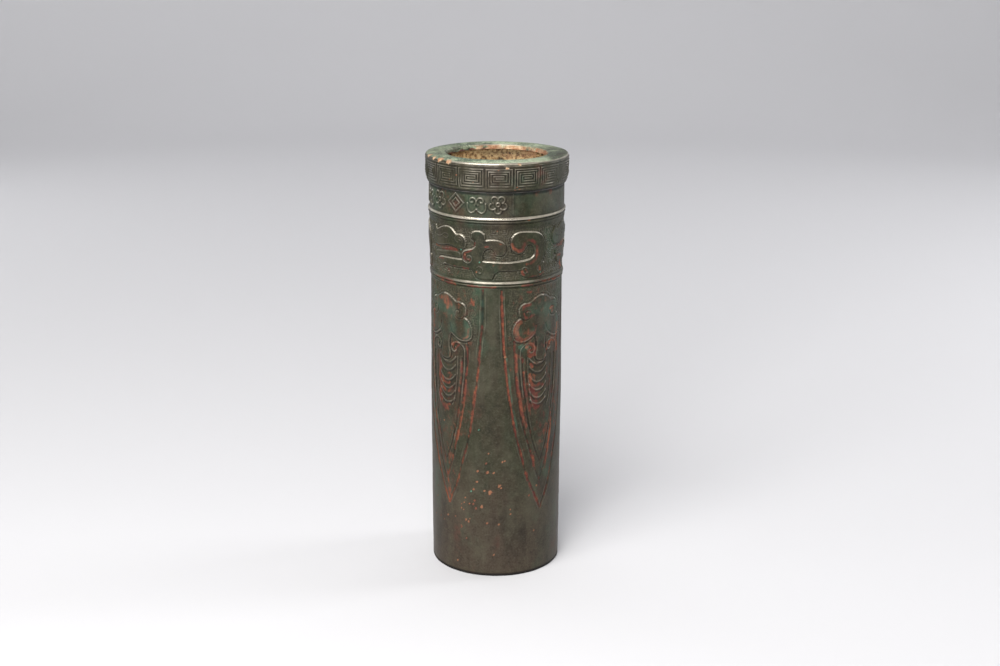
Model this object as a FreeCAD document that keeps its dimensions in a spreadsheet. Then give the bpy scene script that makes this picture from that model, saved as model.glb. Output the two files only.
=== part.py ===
import FreeCAD, Part
import Sketcher
import os

# Bronze sleeve vase: a tall cast cylinder with two double-bead fillets, a thick mouth collar
# sleeved over the top of the wall, and a cast disc let into the foot.
# Millimetres, +Z up, origin at the centre of the circle that the foot stands on.

SIZES = {
    # hollow of the cast wall, and the seat for the disc in its foot
    "bore_radius": 27.0,
    "rebate_depth": 1.4,
    # cast wall, outside, from the collar's seat down: each step stands on the one before
    "spigot_wall": 2.9,
    "shoulder_width": 1.6,
    "frieze_swell": 0.2,
    "frieze_set_in": 0.7,
    "waist_draw": 0.15,
    "belly_swell": 0.35,
    "foot_draw": 0.3,
    "foot_round": 1.5,
    # heights of its zones
    "body_height": 142.0,
    "belly_height": 95.0,
    "fillet_height": 4.0,
    "frieze_height": 25.7,
    "neck_height": 10.7,
    # round beads of the two fillets
    "bead_radius": 0.8,
    "bead_stand": 0.55,
    "small_bead_radius": 0.55,
    "small_bead_stand": 0.35,
    # sleeve joint between wall and collar
    "spigot_height": 10.6,
    "solder_seam": 0.5,
    "joint_gap": 0.05,
    # mouth collar
    "collar_overhang": 0.9,
    "collar_flare": 0.8,
    "collar_taper_height": 4.6,
    "collar_foot_round": 0.8,
    "lip_thickness": 4.0,
    "crown_drop": 0.8,
    "lip_round": 2.0,
    "lip_turn_in": 3.5,
    "lip_root_width": 1.0,
    "lip_rise": 1.0,
    "inner_drop": 0.6,
    "mouth_round": 0.9,
    # base disc and the solder that holds it
    "base_recess": 5.0,
    "base_thickness": 3.0,
    "base_gap": 0.1,
    "base_edge_chamfer": 0.4,
    "solder_leg": 1.6,
}

# Shares of the bands and widths that they lie in.
CROWN_SHARE = 0.515
FRIEZE_CROWN_SHARE = 0.6
BEAD_SHARE = 0.775
SMALL_BEAD_SHARE = 0.375

# Levels on the axis, as sums of the sheet's sizes.
FRIEZE_FOOT_LEVEL = "Sizes.body_height + Sizes.fillet_height"
FRIEZE_TOP_LEVEL = FRIEZE_FOOT_LEVEL + " + Sizes.frieze_height"
NECK_LEVEL = FRIEZE_TOP_LEVEL + " + Sizes.fillet_height"
SHOULDER_LEVEL = NECK_LEVEL + " + Sizes.neck_height"
SPIGOT_TOP_LEVEL = SHOULDER_LEVEL + " + Sizes.spigot_height"
LEDGE_LEVEL = "Sizes.base_recess + Sizes.base_thickness"
SOCKET_DEPTH = "Sizes.spigot_height - Sizes.solder_seam"

COLLAR_HEIGHT = SOCKET_DEPTH + " + Sizes.lip_thickness"

# Radii, each as the radius that carries it and a step.
SPIGOT_RADIUS = "Sizes.bore_radius + Sizes.spigot_wall"
NECK_RADIUS = SPIGOT_RADIUS + " + Sizes.shoulder_width"
FRIEZE_RADIUS = NECK_RADIUS + " + Sizes.frieze_swell"
FRIEZE_FOOT_RADIUS = FRIEZE_RADIUS + " - Sizes.frieze_set_in"
WAIST_RADIUS = FRIEZE_FOOT_RADIUS + " - Sizes.waist_draw"
BELLY_RADIUS = WAIST_RADIUS + " + Sizes.belly_swell"
FOOT_RADIUS = BELLY_RADIUS + " - Sizes.foot_draw"
SLEEVE_RADIUS = SPIGOT_RADIUS + " + Sizes.joint_gap"
COLLAR_FOOT_RADIUS = NECK_RADIUS + " + Sizes.collar_overhang"
COLLAR_RADIUS = COLLAR_FOOT_RADIUS + " + Sizes.collar_flare"
MOUTH_RADIUS = "Sizes.bore_radius - Sizes.lip_turn_in"
LIP_ROOT_RADIUS = "Sizes.bore_radius - Sizes.lip_root_width"
LIP_CROWN_RADIUS = f"{MOUTH_RADIUS} + ({COLLAR_RADIUS} - ({MOUTH_RADIUS})) * {CROWN_SHARE}"
REBATE_RADIUS = "Sizes.bore_radius + Sizes.rebate_depth"
BASE_RADIUS = REBATE_RADIUS + " - Sizes.base_gap"
BASE_SOLDER_RADIUS = REBATE_RADIUS + " - Sizes.joint_gap"

# How a sketch numbers the points of a line or a circle, its own two axes and its origin.
START_POINT, END_POINT, CENTRE_POINT = range(1, 4)
RADIUS_AXIS, TURNING_AXIS = range(-1, -3, -1)
ORIGIN_POINT = (RADIUS_AXIS, START_POINT)

# Two places count as one when they lie closer than this share of the bore's radius.
SAME_PLACE_SHARE = 1e-6


def make_sheet(doc):
    """Puts every driving size in the sheet, one row each, with its name as alias."""
    sheet = doc.addObject("Spreadsheet::Sheet", "Sizes")
    for row, (name, size) in enumerate(SIZES.items(), start=1):
        sheet.set(f"A{row}", name)
        sheet.set(f"B{row}", str(size))
        sheet.setAlias(f"B{row}", name)
    doc.recompute()
    return sheet


def value_of(expression):
    """Works out an expression in the sheet's sizes as a plain number."""
    result = DOC.Sizes.evalExpression(expression)
    return float(getattr(result, "Value", result))


def make_body(label, level="0"):
    """Makes a body that stands at the given level on the vase's axis."""
    body = DOC.addObject("PartDesign::Body", label)
    body.Label = label
    body.setExpression("Placement.Base.z", level)
    return body


def make_sketch(body, name):
    """Makes a sketch on the body's own upright plane, through the turning axis."""
    sketch = body.newObject("Sketcher::SketchObject", name)
    planes = [item for item in body.Origin.OriginFeatures if item.Role == "XZ_Plane"]
    sketch.AttachmentSupport = (planes[0], [""])
    sketch.MapMode = "FlatFace"
    return sketch


def tie(sketch, geometry, point, radius, height):
    """Ties one point of a sketch to the turning axis and the base line by two expressions."""
    for kind, axis, expression in (
        ("DistanceX", TURNING_AXIS, radius),
        ("DistanceY", RADIUS_AXIS, height),
    ):
        value = value_of(expression)
        if value == 0:
            sketch.addConstraint(Sketcher.Constraint("PointOnObject", geometry, point, axis))
        else:
            constraint = Sketcher.Constraint(kind, *ORIGIN_POINT, geometry, point, value)
            index = sketch.addConstraint(constraint)
            sketch.setExpression(f"Constraints[{index}]", expression)


def draw_outline(sketch, corners):
    """Draws a closed outline of straight sides through (radius, height) expressions."""
    places = [FreeCAD.Vector(value_of(radius), value_of(height), 0) for radius, height in corners]
    sides = []
    for start, end in zip(places, places[1:] + places[:1]):
        sides.append(sketch.addGeometry(Part.LineSegment(start, end)))
    for side, following in zip(sides, sides[1:] + sides[:1]):
        join = Sketcher.Constraint("Coincident", side, END_POINT, following, START_POINT)
        sketch.addConstraint(join)
    for side, (radius, height) in zip(sides, corners):
        tie(sketch, side, START_POINT, radius, height)


def draw_circle(sketch, radius, height, round_size):
    """Draws the section of one bead: a circle tied to its centre and size."""
    centre = FreeCAD.Vector(value_of(radius), value_of(height), 0)
    circle = Part.Circle(centre, FreeCAD.Vector(0, 0, 1), value_of(round_size))
    geometry = sketch.addGeometry(circle)
    tie(sketch, geometry, CENTRE_POINT, radius, height)
    constraint = Sketcher.Constraint("Radius", geometry, value_of(round_size))
    index = sketch.addConstraint(constraint)
    sketch.setExpression(f"Constraints[{index}]", round_size)


def revolve(body, sketch, name):
    """Turns a sketch once round the vase's axis."""
    turned = body.newObject("PartDesign::Revolution", name)
    turned.Profile = sketch
    turned.ReferenceAxis = (sketch, ["V_Axis"])
    turned.Angle = 360
    sketch.Visibility = False
    DOC.recompute()
    return turned


def ring_edge(feature, radius, height):
    """Names the round edge of a feature at one radius and height, both as expressions."""
    near = value_of("Sizes.bore_radius") * SAME_PLACE_SHARE
    for number, edge in enumerate(feature.Shape.Edges, start=1):
        if not isinstance(edge.Curve, Part.Circle):
            continue
        same_radius = abs(edge.Curve.Radius - value_of(radius)) < near
        same_height = abs(edge.Curve.Center.z - value_of(height)) < near
        if same_radius and same_height:
            return f"Edge{number}"
    raise RuntimeError(f"no round edge at radius {radius}, height {height}")


def round_edge(body, base, name, place, size):
    """Rounds one ring edge of a turned piece."""
    rounded = body.newObject("PartDesign::Fillet", name)
    rounded.Base = (base, [ring_edge(base, *place)])
    rounded.setExpression("Radius", size)
    DOC.recompute()
    return rounded


def make_cast_wall():
    """The one-piece cast wall: body, frieze and neck, a spigot above and a rebate below."""
    body = make_body("cast_wall")
    foot_edge = (FOOT_RADIUS, "0")
    frieze_crown = f"{FRIEZE_FOOT_LEVEL} + Sizes.frieze_height * {FRIEZE_CROWN_SHARE}"
    sketch = make_sketch(body, "wall_outline")
    draw_outline(sketch, [
        (REBATE_RADIUS, "0"),
        foot_edge,
        (BELLY_RADIUS, "Sizes.belly_height"),
        (WAIST_RADIUS, "Sizes.body_height"),
        (FRIEZE_FOOT_RADIUS, FRIEZE_FOOT_LEVEL),
        (FRIEZE_RADIUS, frieze_crown),
        (FRIEZE_RADIUS, FRIEZE_TOP_LEVEL),
        (NECK_RADIUS, NECK_LEVEL),
        (NECK_RADIUS, SHOULDER_LEVEL),
        (SPIGOT_RADIUS, SHOULDER_LEVEL),
        (SPIGOT_RADIUS, SPIGOT_TOP_LEVEL),
        ("Sizes.bore_radius", SPIGOT_TOP_LEVEL),
        ("Sizes.bore_radius", LEDGE_LEVEL),
        (REBATE_RADIUS, LEDGE_LEVEL),
    ])
    wall = revolve(body, sketch, "wall_turning")

    lower_band = f"({WAIST_RADIUS} + {FRIEZE_FOOT_RADIUS}) / 2"
    upper_band = f"({FRIEZE_RADIUS} + {NECK_RADIUS}) / 2"
    beads = make_sketch(body, "bead_sections")
    for band, level in ((lower_band, "Sizes.body_height"), (upper_band, FRIEZE_TOP_LEVEL)):
        draw_circle(
            beads,
            f"{band} + Sizes.bead_stand - Sizes.bead_radius",
            f"{level} + Sizes.fillet_height * {BEAD_SHARE}",
            "Sizes.bead_radius",
        )
        draw_circle(
            beads,
            f"{band} + Sizes.small_bead_stand - Sizes.small_bead_radius",
            f"{level} + Sizes.fillet_height * {SMALL_BEAD_SHARE}",
            "Sizes.small_bead_radius",
        )
    beaded = revolve(body, beads, "fillet_beads")
    if beaded.Shape.Volume <= wall.Shape.Volume:
        raise RuntimeError("the beads add nothing to the wall")
    body.Tip = round_edge(body, beaded, "foot_rounding", foot_edge, "Sizes.foot_round")
    return body


def make_collar_solder():
    """The thin washer of solder between the wall's shoulder and the collar."""
    body = make_body("collar_solder", SHOULDER_LEVEL)
    sketch = make_sketch(body, "collar_seam_outline")
    draw_outline(sketch, [
        (SLEEVE_RADIUS, "0"),
        (NECK_RADIUS, "0"),
        (NECK_RADIUS, "Sizes.solder_seam"),
        (SLEEVE_RADIUS, "Sizes.solder_seam"),
    ])
    body.Tip = revolve(body, sketch, "collar_seam_turning")
    return body


def make_mouth_collar():
    """The thick collar: a tall outer band, and a lip that turns in over the wall's top."""
    body = make_body("mouth_collar", f"{SHOULDER_LEVEL} + Sizes.solder_seam")
    outer_edge = (COLLAR_RADIUS, f"{COLLAR_HEIGHT} - Sizes.crown_drop")
    inner_edge = (MOUTH_RADIUS, f"{COLLAR_HEIGHT} - Sizes.inner_drop")
    foot_edge = (COLLAR_FOOT_RADIUS, "0")
    sketch = make_sketch(body, "collar_outline")
    draw_outline(sketch, [
        (SLEEVE_RADIUS, "0"),
        foot_edge,
        (COLLAR_RADIUS, "Sizes.collar_taper_height"),
        outer_edge,
        (LIP_CROWN_RADIUS, COLLAR_HEIGHT),
        inner_edge,
        (MOUTH_RADIUS, f"{SOCKET_DEPTH} + Sizes.lip_rise"),
        (LIP_ROOT_RADIUS, SOCKET_DEPTH),
        (SLEEVE_RADIUS, SOCKET_DEPTH),
    ])
    ring = revolve(body, sketch, "collar_turning")
    lipped = round_edge(body, ring, "lip_rounding", outer_edge, "Sizes.lip_round")
    mouthed = round_edge(body, lipped, "mouth_rounding", inner_edge, "Sizes.mouth_round")
    footed = round_edge(body, mouthed, "collar_foot_rounding", foot_edge, "Sizes.collar_foot_round")
    body.Tip = footed
    return body


def make_base_plate():
    """The cast disc that closes the foot, pressed up against the wall's ledge."""
    body = make_body("base_plate", "Sizes.base_recess")
    sketch = make_sketch(body, "disc_outline")
    top_edge = (BASE_RADIUS, "Sizes.base_thickness")
    draw_outline(sketch, [
        ("0", "0"),
        (BASE_RADIUS, "0"),
        top_edge,
        ("0", "Sizes.base_thickness"),
    ])
    disc = revolve(body, sketch, "disc_turning")
    eased = body.newObject("PartDesign::Chamfer", "disc_easing")
    eased.Base = (disc, [ring_edge(disc, *top_edge)])
    eased.setExpression("Size", "Sizes.base_edge_chamfer")
    body.Tip = eased
    return body


def make_base_solder():
    """The three-sided run of solder in the corner under the disc, all the way round."""
    body = make_body("base_solder", "Sizes.base_recess - Sizes.solder_leg")
    sketch = make_sketch(body, "base_seam_outline")
    draw_outline(sketch, [
        (BASE_SOLDER_RADIUS, "0"),
        (BASE_SOLDER_RADIUS, "Sizes.solder_leg"),
        (f"{BASE_SOLDER_RADIUS} - Sizes.solder_leg", "Sizes.solder_leg"),
    ])
    body.Tip = revolve(body, sketch, "base_seam_turning")
    return body


def check_and_write(bodies):
    """Checks every object and every piece, then writes one file for each piece."""
    DOC.recompute()
    for item in DOC.Objects:
        if "Invalid" in item.State or "Error" in item.State:
            raise RuntimeError(f"{item.Name} failed: {item.State}")
    for body in bodies:
        shape = body.Shape
        if shape.isNull() or not shape.isValid() or len(shape.Solids) != 1:
            raise RuntimeError(f"{body.Label} isn't one valid solid")
    os.makedirs("parts", exist_ok=True)
    for body in bodies:
        body.Shape.exportStep(f"parts/{body.Label}.step")
        box = body.Shape.BoundBox
        print(f"{body.Label}: volume {body.Shape.Volume:.1f}, from {box.ZMin:.2f} to {box.ZMax:.2f}")


DOC = FreeCAD.newDocument("bronze_vase")
make_sheet(DOC)
pieces = [
    make_cast_wall(),
    make_collar_solder(),
    make_mouth_collar(),
    make_base_plate(),
    make_base_solder(),
]
check_and_write(pieces)
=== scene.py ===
"""Bronze sleeve vase: cast wall, key-fret collar and let-in base disc, with relief and patina."""

import logging
import math
from dataclasses import dataclass, field
from enum import Enum
from typing import Any, Sequence

import bpy
import numpy as np
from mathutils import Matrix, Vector


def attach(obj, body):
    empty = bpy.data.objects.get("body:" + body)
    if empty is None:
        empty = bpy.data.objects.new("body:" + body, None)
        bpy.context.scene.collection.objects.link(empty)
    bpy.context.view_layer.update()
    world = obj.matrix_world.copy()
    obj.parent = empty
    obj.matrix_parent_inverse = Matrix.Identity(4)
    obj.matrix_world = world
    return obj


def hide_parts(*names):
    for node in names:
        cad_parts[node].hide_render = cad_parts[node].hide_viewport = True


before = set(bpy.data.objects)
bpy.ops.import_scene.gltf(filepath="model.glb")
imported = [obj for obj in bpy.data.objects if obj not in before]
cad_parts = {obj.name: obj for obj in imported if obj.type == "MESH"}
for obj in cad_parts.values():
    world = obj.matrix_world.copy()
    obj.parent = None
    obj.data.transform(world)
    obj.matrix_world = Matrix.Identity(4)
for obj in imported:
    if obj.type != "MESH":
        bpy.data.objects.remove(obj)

LOG = logging.getLogger("vase")
BODY = "root"
WALL_NODE = ("cast_wall", "patinated_bronze_wall")
METRES = 0.001
FULL_TURN = 360.0
RELIEF_RADIUS = 31.5
ARC = math.radians(1.0) * RELIEF_RADIUS
BACK_RADIUS = 28.6
SHARP_ANGLE = math.radians(72.0)

Points = Sequence[tuple[float, float]]
Dot = tuple[float, float, float]
Stain = tuple[Points, float, float]
Cut = tuple[Points, float, float, float]
Colour = tuple[float, float, float, float]


class Mark(Enum):
    """What a vertex tells the finishes about its place."""

    RED = "rust_red"
    # Wear on crests, plus painted highlight on upward-facing edges and on the beads.
    WEAR_AND_HIGHLIGHT = "wear_highlight"
    # Painted shade in recesses and on downward-facing flanks, at the foot, under the collar and under the
    # lip; also dark pits in the inside crust and low spots on the base disc.
    PAINTED_SHADE_AND_PITS = "hollow"
    GROUND = "ground"
    SPOT = "rust_spot"
    LIP = "pale_lip"
    TEAL = "green_salt"


# Fixed noise, lines and steps


def smooth_step(value: np.ndarray, low: float, high: float) -> np.ndarray:
    """Rises smoothly from 0 at low to 1 at high."""
    share = np.clip((value - low) / (high - low), 0.0, 1.0)
    return share * share * (3.0 - 2.0 * share)


def plateau(value: np.ndarray, rise: tuple[float, float], fall: tuple[float, float]) -> np.ndarray:
    """Rises smoothly from 0 to 1 over one span and falls back to 0 over another."""
    return smooth_step(value, *rise) * (1.0 - smooth_step(value, *fall))


def lattice_values(cell: np.ndarray, seed: int) -> np.ndarray:
    """Gives each whole-number cell its own value from 0 to 1.

    Args:
        cell: Whole numbers, the last axis of length three.
        seed: Picks one of many unlike fields.

    Returns:
        One value for each cell.
    """
    mixed = cell[..., 0] * 73856093 ^ cell[..., 1] * 19349663 ^ cell[..., 2] * 83492791 ^ seed * 2654435
    mixed = (mixed ^ (mixed >> 13)) * 1274126177 & 0xFFFFFFFF
    mixed = (mixed ^ (mixed >> 16)) * 668265263 & 0xFFFFFFFF
    return (mixed ^ (mixed >> 15)).astype(float) / 0xFFFFFFFF


def noise(places: np.ndarray, grain: float, seed: int) -> np.ndarray:
    """Smooth noise from -1 to 1 at places in millimetres.

    Args:
        places: Places, the last axis of length three.
        grain: Size of one lump of the noise in millimetres.
        seed: Picks one of many unlike fields.

    Returns:
        One value for each place.
    """
    scaled = places / grain + 512.0
    cell = np.floor(scaled).astype(np.int64)
    share = scaled - cell
    share = share * share * (3.0 - 2.0 * share)
    total = np.zeros(places.shape[:-1])
    for corner in np.ndindex(2, 2, 2):
        weight = np.ones_like(total)
        for axis, side in enumerate(corner):
            weight = weight * (share[..., axis] if side else 1.0 - share[..., axis])
        total += weight * lattice_values(cell + np.array(corner), seed)
    return total * 2.0 - 1.0


def line_of(points: Points, closed: bool = False, per_span: int = 6) -> np.ndarray:
    """A smooth line through given points.

    Args:
        points: Pairs of degrees round the wall and level in millimetres.
        closed: Whether the line comes back to its first point.
        per_span: How many short pieces each span gets.

    Returns:
        The line's points in millimetres, along the arc and up.
    """
    knots = np.array(points, float) * (ARC, 1.0)
    if closed:
        knots = np.vstack([knots[-1:], knots, knots[:2]])
    else:
        knots = np.vstack([2 * knots[:1] - knots[1:2], knots, 2 * knots[-1:] - knots[-2:-1]])
    steps = np.linspace(0.0, 1.0, per_span, endpoint=False)[:, None]
    spans = [
        0.5 * (2 * b + (c - a) * steps + (2 * a - 5 * b + 4 * c - d) * steps**2
               + (3 * b - a - 3 * c + d) * steps**3)
        for a, b, c, d in zip(knots[:-3], knots[1:-2], knots[2:-1], knots[3:])
    ]
    return np.vstack(spans + [knots[-2:-1]])


def turned_line(points: Points, turn: float) -> np.ndarray:
    """A smooth line through given points, moved some degrees round the wall."""
    return line_of([(degrees + turn, level) for degrees, level in points])


def straight_line(points: Points) -> np.ndarray:
    """A line of straight runs through given points, in millimetres."""
    return np.array(points, float) * (ARC, 1.0)


def spread(values: np.ndarray, reach: int, wrap: bool) -> np.ndarray:
    """Averages a grid over its neighbours, to tell what stands out from what lies deep.

    Args:
        values: The grid.
        reach: How many neighbours to take each way.
        wrap: Whether the columns go all the way round.

    Returns:
        The averaged grid.
    """
    mode = "wrap" if wrap else "edge"
    padded = np.pad(values, ((0, 0), (reach, reach)), mode=mode)
    padded = np.pad(padded, ((reach, reach), (0, 0)), mode="edge")
    weights = np.exp(-np.linspace(-1.6, 1.6, 2 * reach + 1) ** 2)
    weights /= weights.sum()
    rows, columns = values.shape
    across = sum(w * padded[:, i:i + columns] for i, w in enumerate(weights))
    return sum(w * across[i:i + rows] for i, w in enumerate(weights))


@dataclass
class Relief:
    """Heights and finish marks over a patch of the wall.

    Args:
        degrees: Places of the columns round the wall.
        levels: Places of the rows up the wall, in millimetres.
        wrap: Whether the columns go all the way round.
    """

    degrees: np.ndarray
    levels: np.ndarray
    wrap: bool = False
    height: np.ndarray = field(init=False)
    red: np.ndarray = field(init=False)
    ground: np.ndarray = field(init=False)
    spot: np.ndarray = field(init=False)
    teal: np.ndarray = field(init=False)
    # The next three: how far wear and painted highlight show, a painted highlight, and painted shadow.
    wear_highlight_share: np.ndarray = field(init=False)
    painted_highlight: np.ndarray = field(init=False)
    painted_shadow: np.ndarray = field(init=False)
    ragged: np.ndarray = field(init=False)

    def __post_init__(self) -> None:
        """Lays out the empty grids."""
        self.deg, self.z = np.meshgrid(self.degrees, self.levels)
        self.u = self.deg * ARC
        self.height = np.zeros_like(self.u)
        self.red = np.zeros_like(self.u)
        self.ground = np.zeros_like(self.u)
        self.spot = np.zeros_like(self.u)
        self.teal = np.zeros_like(self.u)
        self.wear_highlight_share = np.ones_like(self.u)
        self.painted_highlight = np.zeros_like(self.u)
        self.painted_shadow = np.zeros_like(self.u)
        self.ragged = 1.0 + 0.45 * noise(self.flat_places(), 0.6, 21)

    def flat_places(self) -> np.ndarray:
        """The places on the wall rolled out flat, in millimetres."""
        return np.stack([self.u, self.z, np.zeros_like(self.u)], -1)

    def distance(self, line: np.ndarray, reach: float) -> np.ndarray:
        """How far each place lies from a line, up to a reach.

        Args:
            line: Points of the line in millimetres.
            reach: The furthest distance that matters.

        Returns:
            The distances in millimetres.
        """
        result = np.full(self.u.shape, reach)
        columns = self.degrees * ARC
        for (u0, v0), (u1, v1) in zip(line[:-1], line[1:]):
            first, last = np.searchsorted(columns, [min(u0, u1) - reach, max(u0, u1) + reach])
            low, high = np.searchsorted(self.levels, [min(v0, v1) - reach, max(v0, v1) + reach])
            if first == last or low == high:
                continue
            window = (slice(low, high), slice(first, last))
            from_u, from_v = self.u[window] - u0, self.z[window] - v0
            run_u, run_v = u1 - u0, v1 - v0
            length = max(run_u**2 + run_v**2, 1e-9)
            share = np.clip((from_u * run_u + from_v * run_v) / length, 0.0, 1.0)
            found = np.hypot(from_u - share * run_u, from_v - share * run_v)
            result[window] = np.minimum(result[window], found)
        return result

    def inside(self, line: np.ndarray) -> np.ndarray:
        """Which places lie inside a closed line.

        Args:
            line: Points of the line in millimetres, the last the same as the first.

        Returns:
            True where a place lies inside.
        """
        result = np.zeros(self.u.shape, bool)
        for (u0, v0), (u1, v1) in zip(line[:-1], line[1:]):
            if v0 == v1:
                continue
            low, high = np.searchsorted(self.levels, [min(v0, v1), max(v0, v1)])
            rows = slice(low, high)
            crossing = u0 + (self.z[rows] - v0) * (u1 - u0) / (v1 - v0)
            result[rows] ^= self.u[rows] < crossing
        return result

    def edge_distance(self, outlines: Sequence[Points], reach: float = 2.5) -> np.ndarray:
        """Signed distance to the nearest of some closed outlines, negative inside.

        Args:
            outlines: The closed outlines.
            reach: The furthest distance that matters.

        Returns:
            The signed distances in millimetres.
        """
        nearest = np.full(self.u.shape, reach)
        for points in outlines:
            line = line_of(points, closed=True)
            away = self.distance(line, reach)
            nearest = np.minimum(nearest, np.where(self.inside(line), -away, away))
        return nearest

    def raise_shapes(self, outlines: Sequence[Points], rise: float, bevel: float) -> None:
        """Raises smooth flat shapes with a rounded edge that lies half on each side of the outline.

        Args:
            outlines: The shapes' closed outlines.
            rise: Height of the flat top.
            bevel: Width of the rounded edge.
        """
        away = self.edge_distance(outlines)
        top = smooth_step(-away, -0.55 * bevel, 0.45 * bevel)
        crown = 0.06 * np.exp(-(((away + 0.6 * bevel) / 0.6) ** 2))
        rim = 0.13 * np.exp(-(((away - 1.35 * bevel) / 0.32) ** 2))
        foot = 0.06 * np.exp(-(((away - 0.75 * bevel) / 0.25) ** 2))
        self.height = self.height * (1.0 - top) + (rise + crown) * top + rim - foot
        self.ground *= 1.0 - smooth_step(-away, -0.5, 0.0)

    def ridge(self, line: np.ndarray, rise: float, half_width: float) -> None:
        """Adds a round-backed line that stands up."""
        away = self.distance(line, half_width * 2.4)
        self.height += rise * np.exp(-1.3 * (away / half_width) ** 2) * (away < half_width * 2.39)

    def groove(self, line: np.ndarray, depth: float, half_width: float, red: float = 0.0) -> None:
        """Cuts a round-bottomed line, and may leave red in it.

        Args:
            line: Points of the line in millimetres.
            depth: How deep it is cut.
            half_width: Half its width.
            red: How much red stays in it, from 0 to about 1.
        """
        away = self.distance(line, half_width * 2.4)
        shape = np.exp(-1.3 * (away / half_width) ** 2) * (away < half_width * 2.39)
        self.height -= depth * shape
        self.paint(line, half_width * 1.15, red)

    def paint(self, line: np.ndarray, half_width: float, red: float) -> None:
        """Leaves red along a line.

        Args:
            line: Points of the line in millimetres.
            half_width: About half the stain's width.
            red: How much red, from 0 to about 1.
        """
        if red:
            away = self.distance(line, half_width * 2.4)
            near = 1.0 - smooth_step(away, half_width * 0.1, half_width * 1.7)
            self.red = np.maximum(self.red, red * near)

    def shelter(self, line: np.ndarray, share: float) -> None:
        """Keeps some of the wear and painted highlight off a line."""
        away = self.distance(line, 1.6)
        self.wear_highlight_share *= 1.0 - share * (1.0 - smooth_step(away, 0.7, 1.5))

    def thunder_ground(self, amount: np.ndarray | float, pitch: float = 4.9, rise: float = 0.13,
                       centre: tuple[float, float] = (-3.1, 169.0)) -> None:
        """Lays rows of small squared spirals over the patch.

        Args:
            amount: Share of their full relief at each place.
            pitch: Width of one spiral in millimetres.
            rise: Their full relief in millimetres.
            centre: Degrees and level of the middle of one spiral.
        """
        places = self.flat_places()
        warp_u = self.u - centre[0] * ARC + 0.3 * noise(places, 5.0, 31)
        warp_z = self.z - centre[1] + 0.25 * noise(places, 6.0, 32)
        tall = pitch * 0.92
        row = np.floor(warp_z / tall + 0.5)
        along = warp_u / pitch + 0.5 + 0.5 * (row % 2)
        column = np.floor(along)
        x, y = (along - column) * 2.0 - 1.0, (warp_z / tall + 0.5 - row) * 2.0 - 1.0
        norm = (np.abs(x) ** 6 + np.abs(y) ** 6) ** (1.0 / 6.0)
        hand = np.where((row + column) % 2 == 0, 1.0, -1.0)
        angle = np.arctan2(y, x * hand) / (2.0 * math.pi)
        wave = np.cos(2.0 * math.pi * (2.3 * norm - angle))
        wave = np.where(norm > 0.93, wave + (-1.0 - wave) * smooth_step(norm, 0.93, 0.99), wave)
        self.height += rise * 0.5 * wave * amount
        self.ground = np.maximum(self.ground, np.asarray(amount) * np.ones_like(self.u))


def places_of(radius: np.ndarray, degrees: np.ndarray, levels: np.ndarray) -> np.ndarray:
    """Turns radius, degrees and level into places in millimetres."""
    angle = np.radians(degrees)
    return np.stack([radius * np.sin(angle), -radius * np.cos(angle), levels + np.zeros_like(angle)], -1)


def cast_skin(places: np.ndarray, amount: float = 1.0) -> np.ndarray:
    """Unevenness that casting, filing and handling left.

    Args:
        places: Places in millimetres.
        amount: Share of its full depth.

    Returns:
        The heights in millimetres.
    """
    return amount * (
        0.10 * noise(places, 17.0, 1)
        + 0.045 * noise(places, 6.0, 2)
        + 0.018 * noise(places, 1.9, 3)
        + 0.011 * noise(places, 0.75, 4)
    )


def loft(name: str, places: np.ndarray, marks: dict[Mark, np.ndarray], turn: bool) -> bpy.types.Object:
    """Makes a closed solid from a grid whose rows go round its section.

    Args:
        name: The piece's name.
        places: Rows by columns by three, in millimetres.
        marks: What each place tells the finish.
        turn: Whether the columns go all the way round the axis.

    Returns:
        The new object.
    """
    rows, columns, _ = places.shape
    index = np.arange(rows * columns).reshape(rows, columns)
    above = np.roll(index, -1, axis=0)
    if turn:
        quads = np.stack([index, np.roll(index, -1, axis=1), np.roll(above, -1, axis=1), above], -1)
    else:
        quads = np.stack([index[:, :-1], index[:, 1:], above[:, 1:], above[:, :-1]], -1)
    quads = quads.reshape(-1, 4)
    loops = [quads.ravel()]
    starts = [np.arange(len(quads)) * 4]
    if not turn:
        loops += [index[:, 0], index[::-1, -1]]
        starts.append(len(quads) * 4 + np.arange(2) * rows)
    mesh = bpy.data.meshes.new(name)
    mesh.vertices.add(rows * columns)
    mesh.vertices.foreach_set("co", (places * METRES).astype(np.float32).ravel())
    corner = np.concatenate(loops).astype(np.int32)
    mesh.loops.add(len(corner))
    mesh.loops.foreach_set("vertex_index", corner)
    first = np.concatenate(starts).astype(np.int32)
    mesh.polygons.add(len(first))
    mesh.polygons.foreach_set("loop_start", first)
    mesh.update(calc_edges=True)
    mesh.validate()
    mesh.polygons.foreach_set("use_smooth", np.ones(len(mesh.polygons), bool))
    mesh.set_sharp_from_angle(angle=SHARP_ANGLE)
    for mark, values in marks.items():
        layer = mesh.attributes.new(mark.value, "FLOAT", "POINT")
        layer.data.foreach_set("value", np.clip(values, 0.0, 1.0).astype(np.float32).ravel())
    piece = bpy.data.objects.new(name, mesh)
    bpy.context.scene.collection.objects.link(piece)
    return piece


# Finishes


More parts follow.
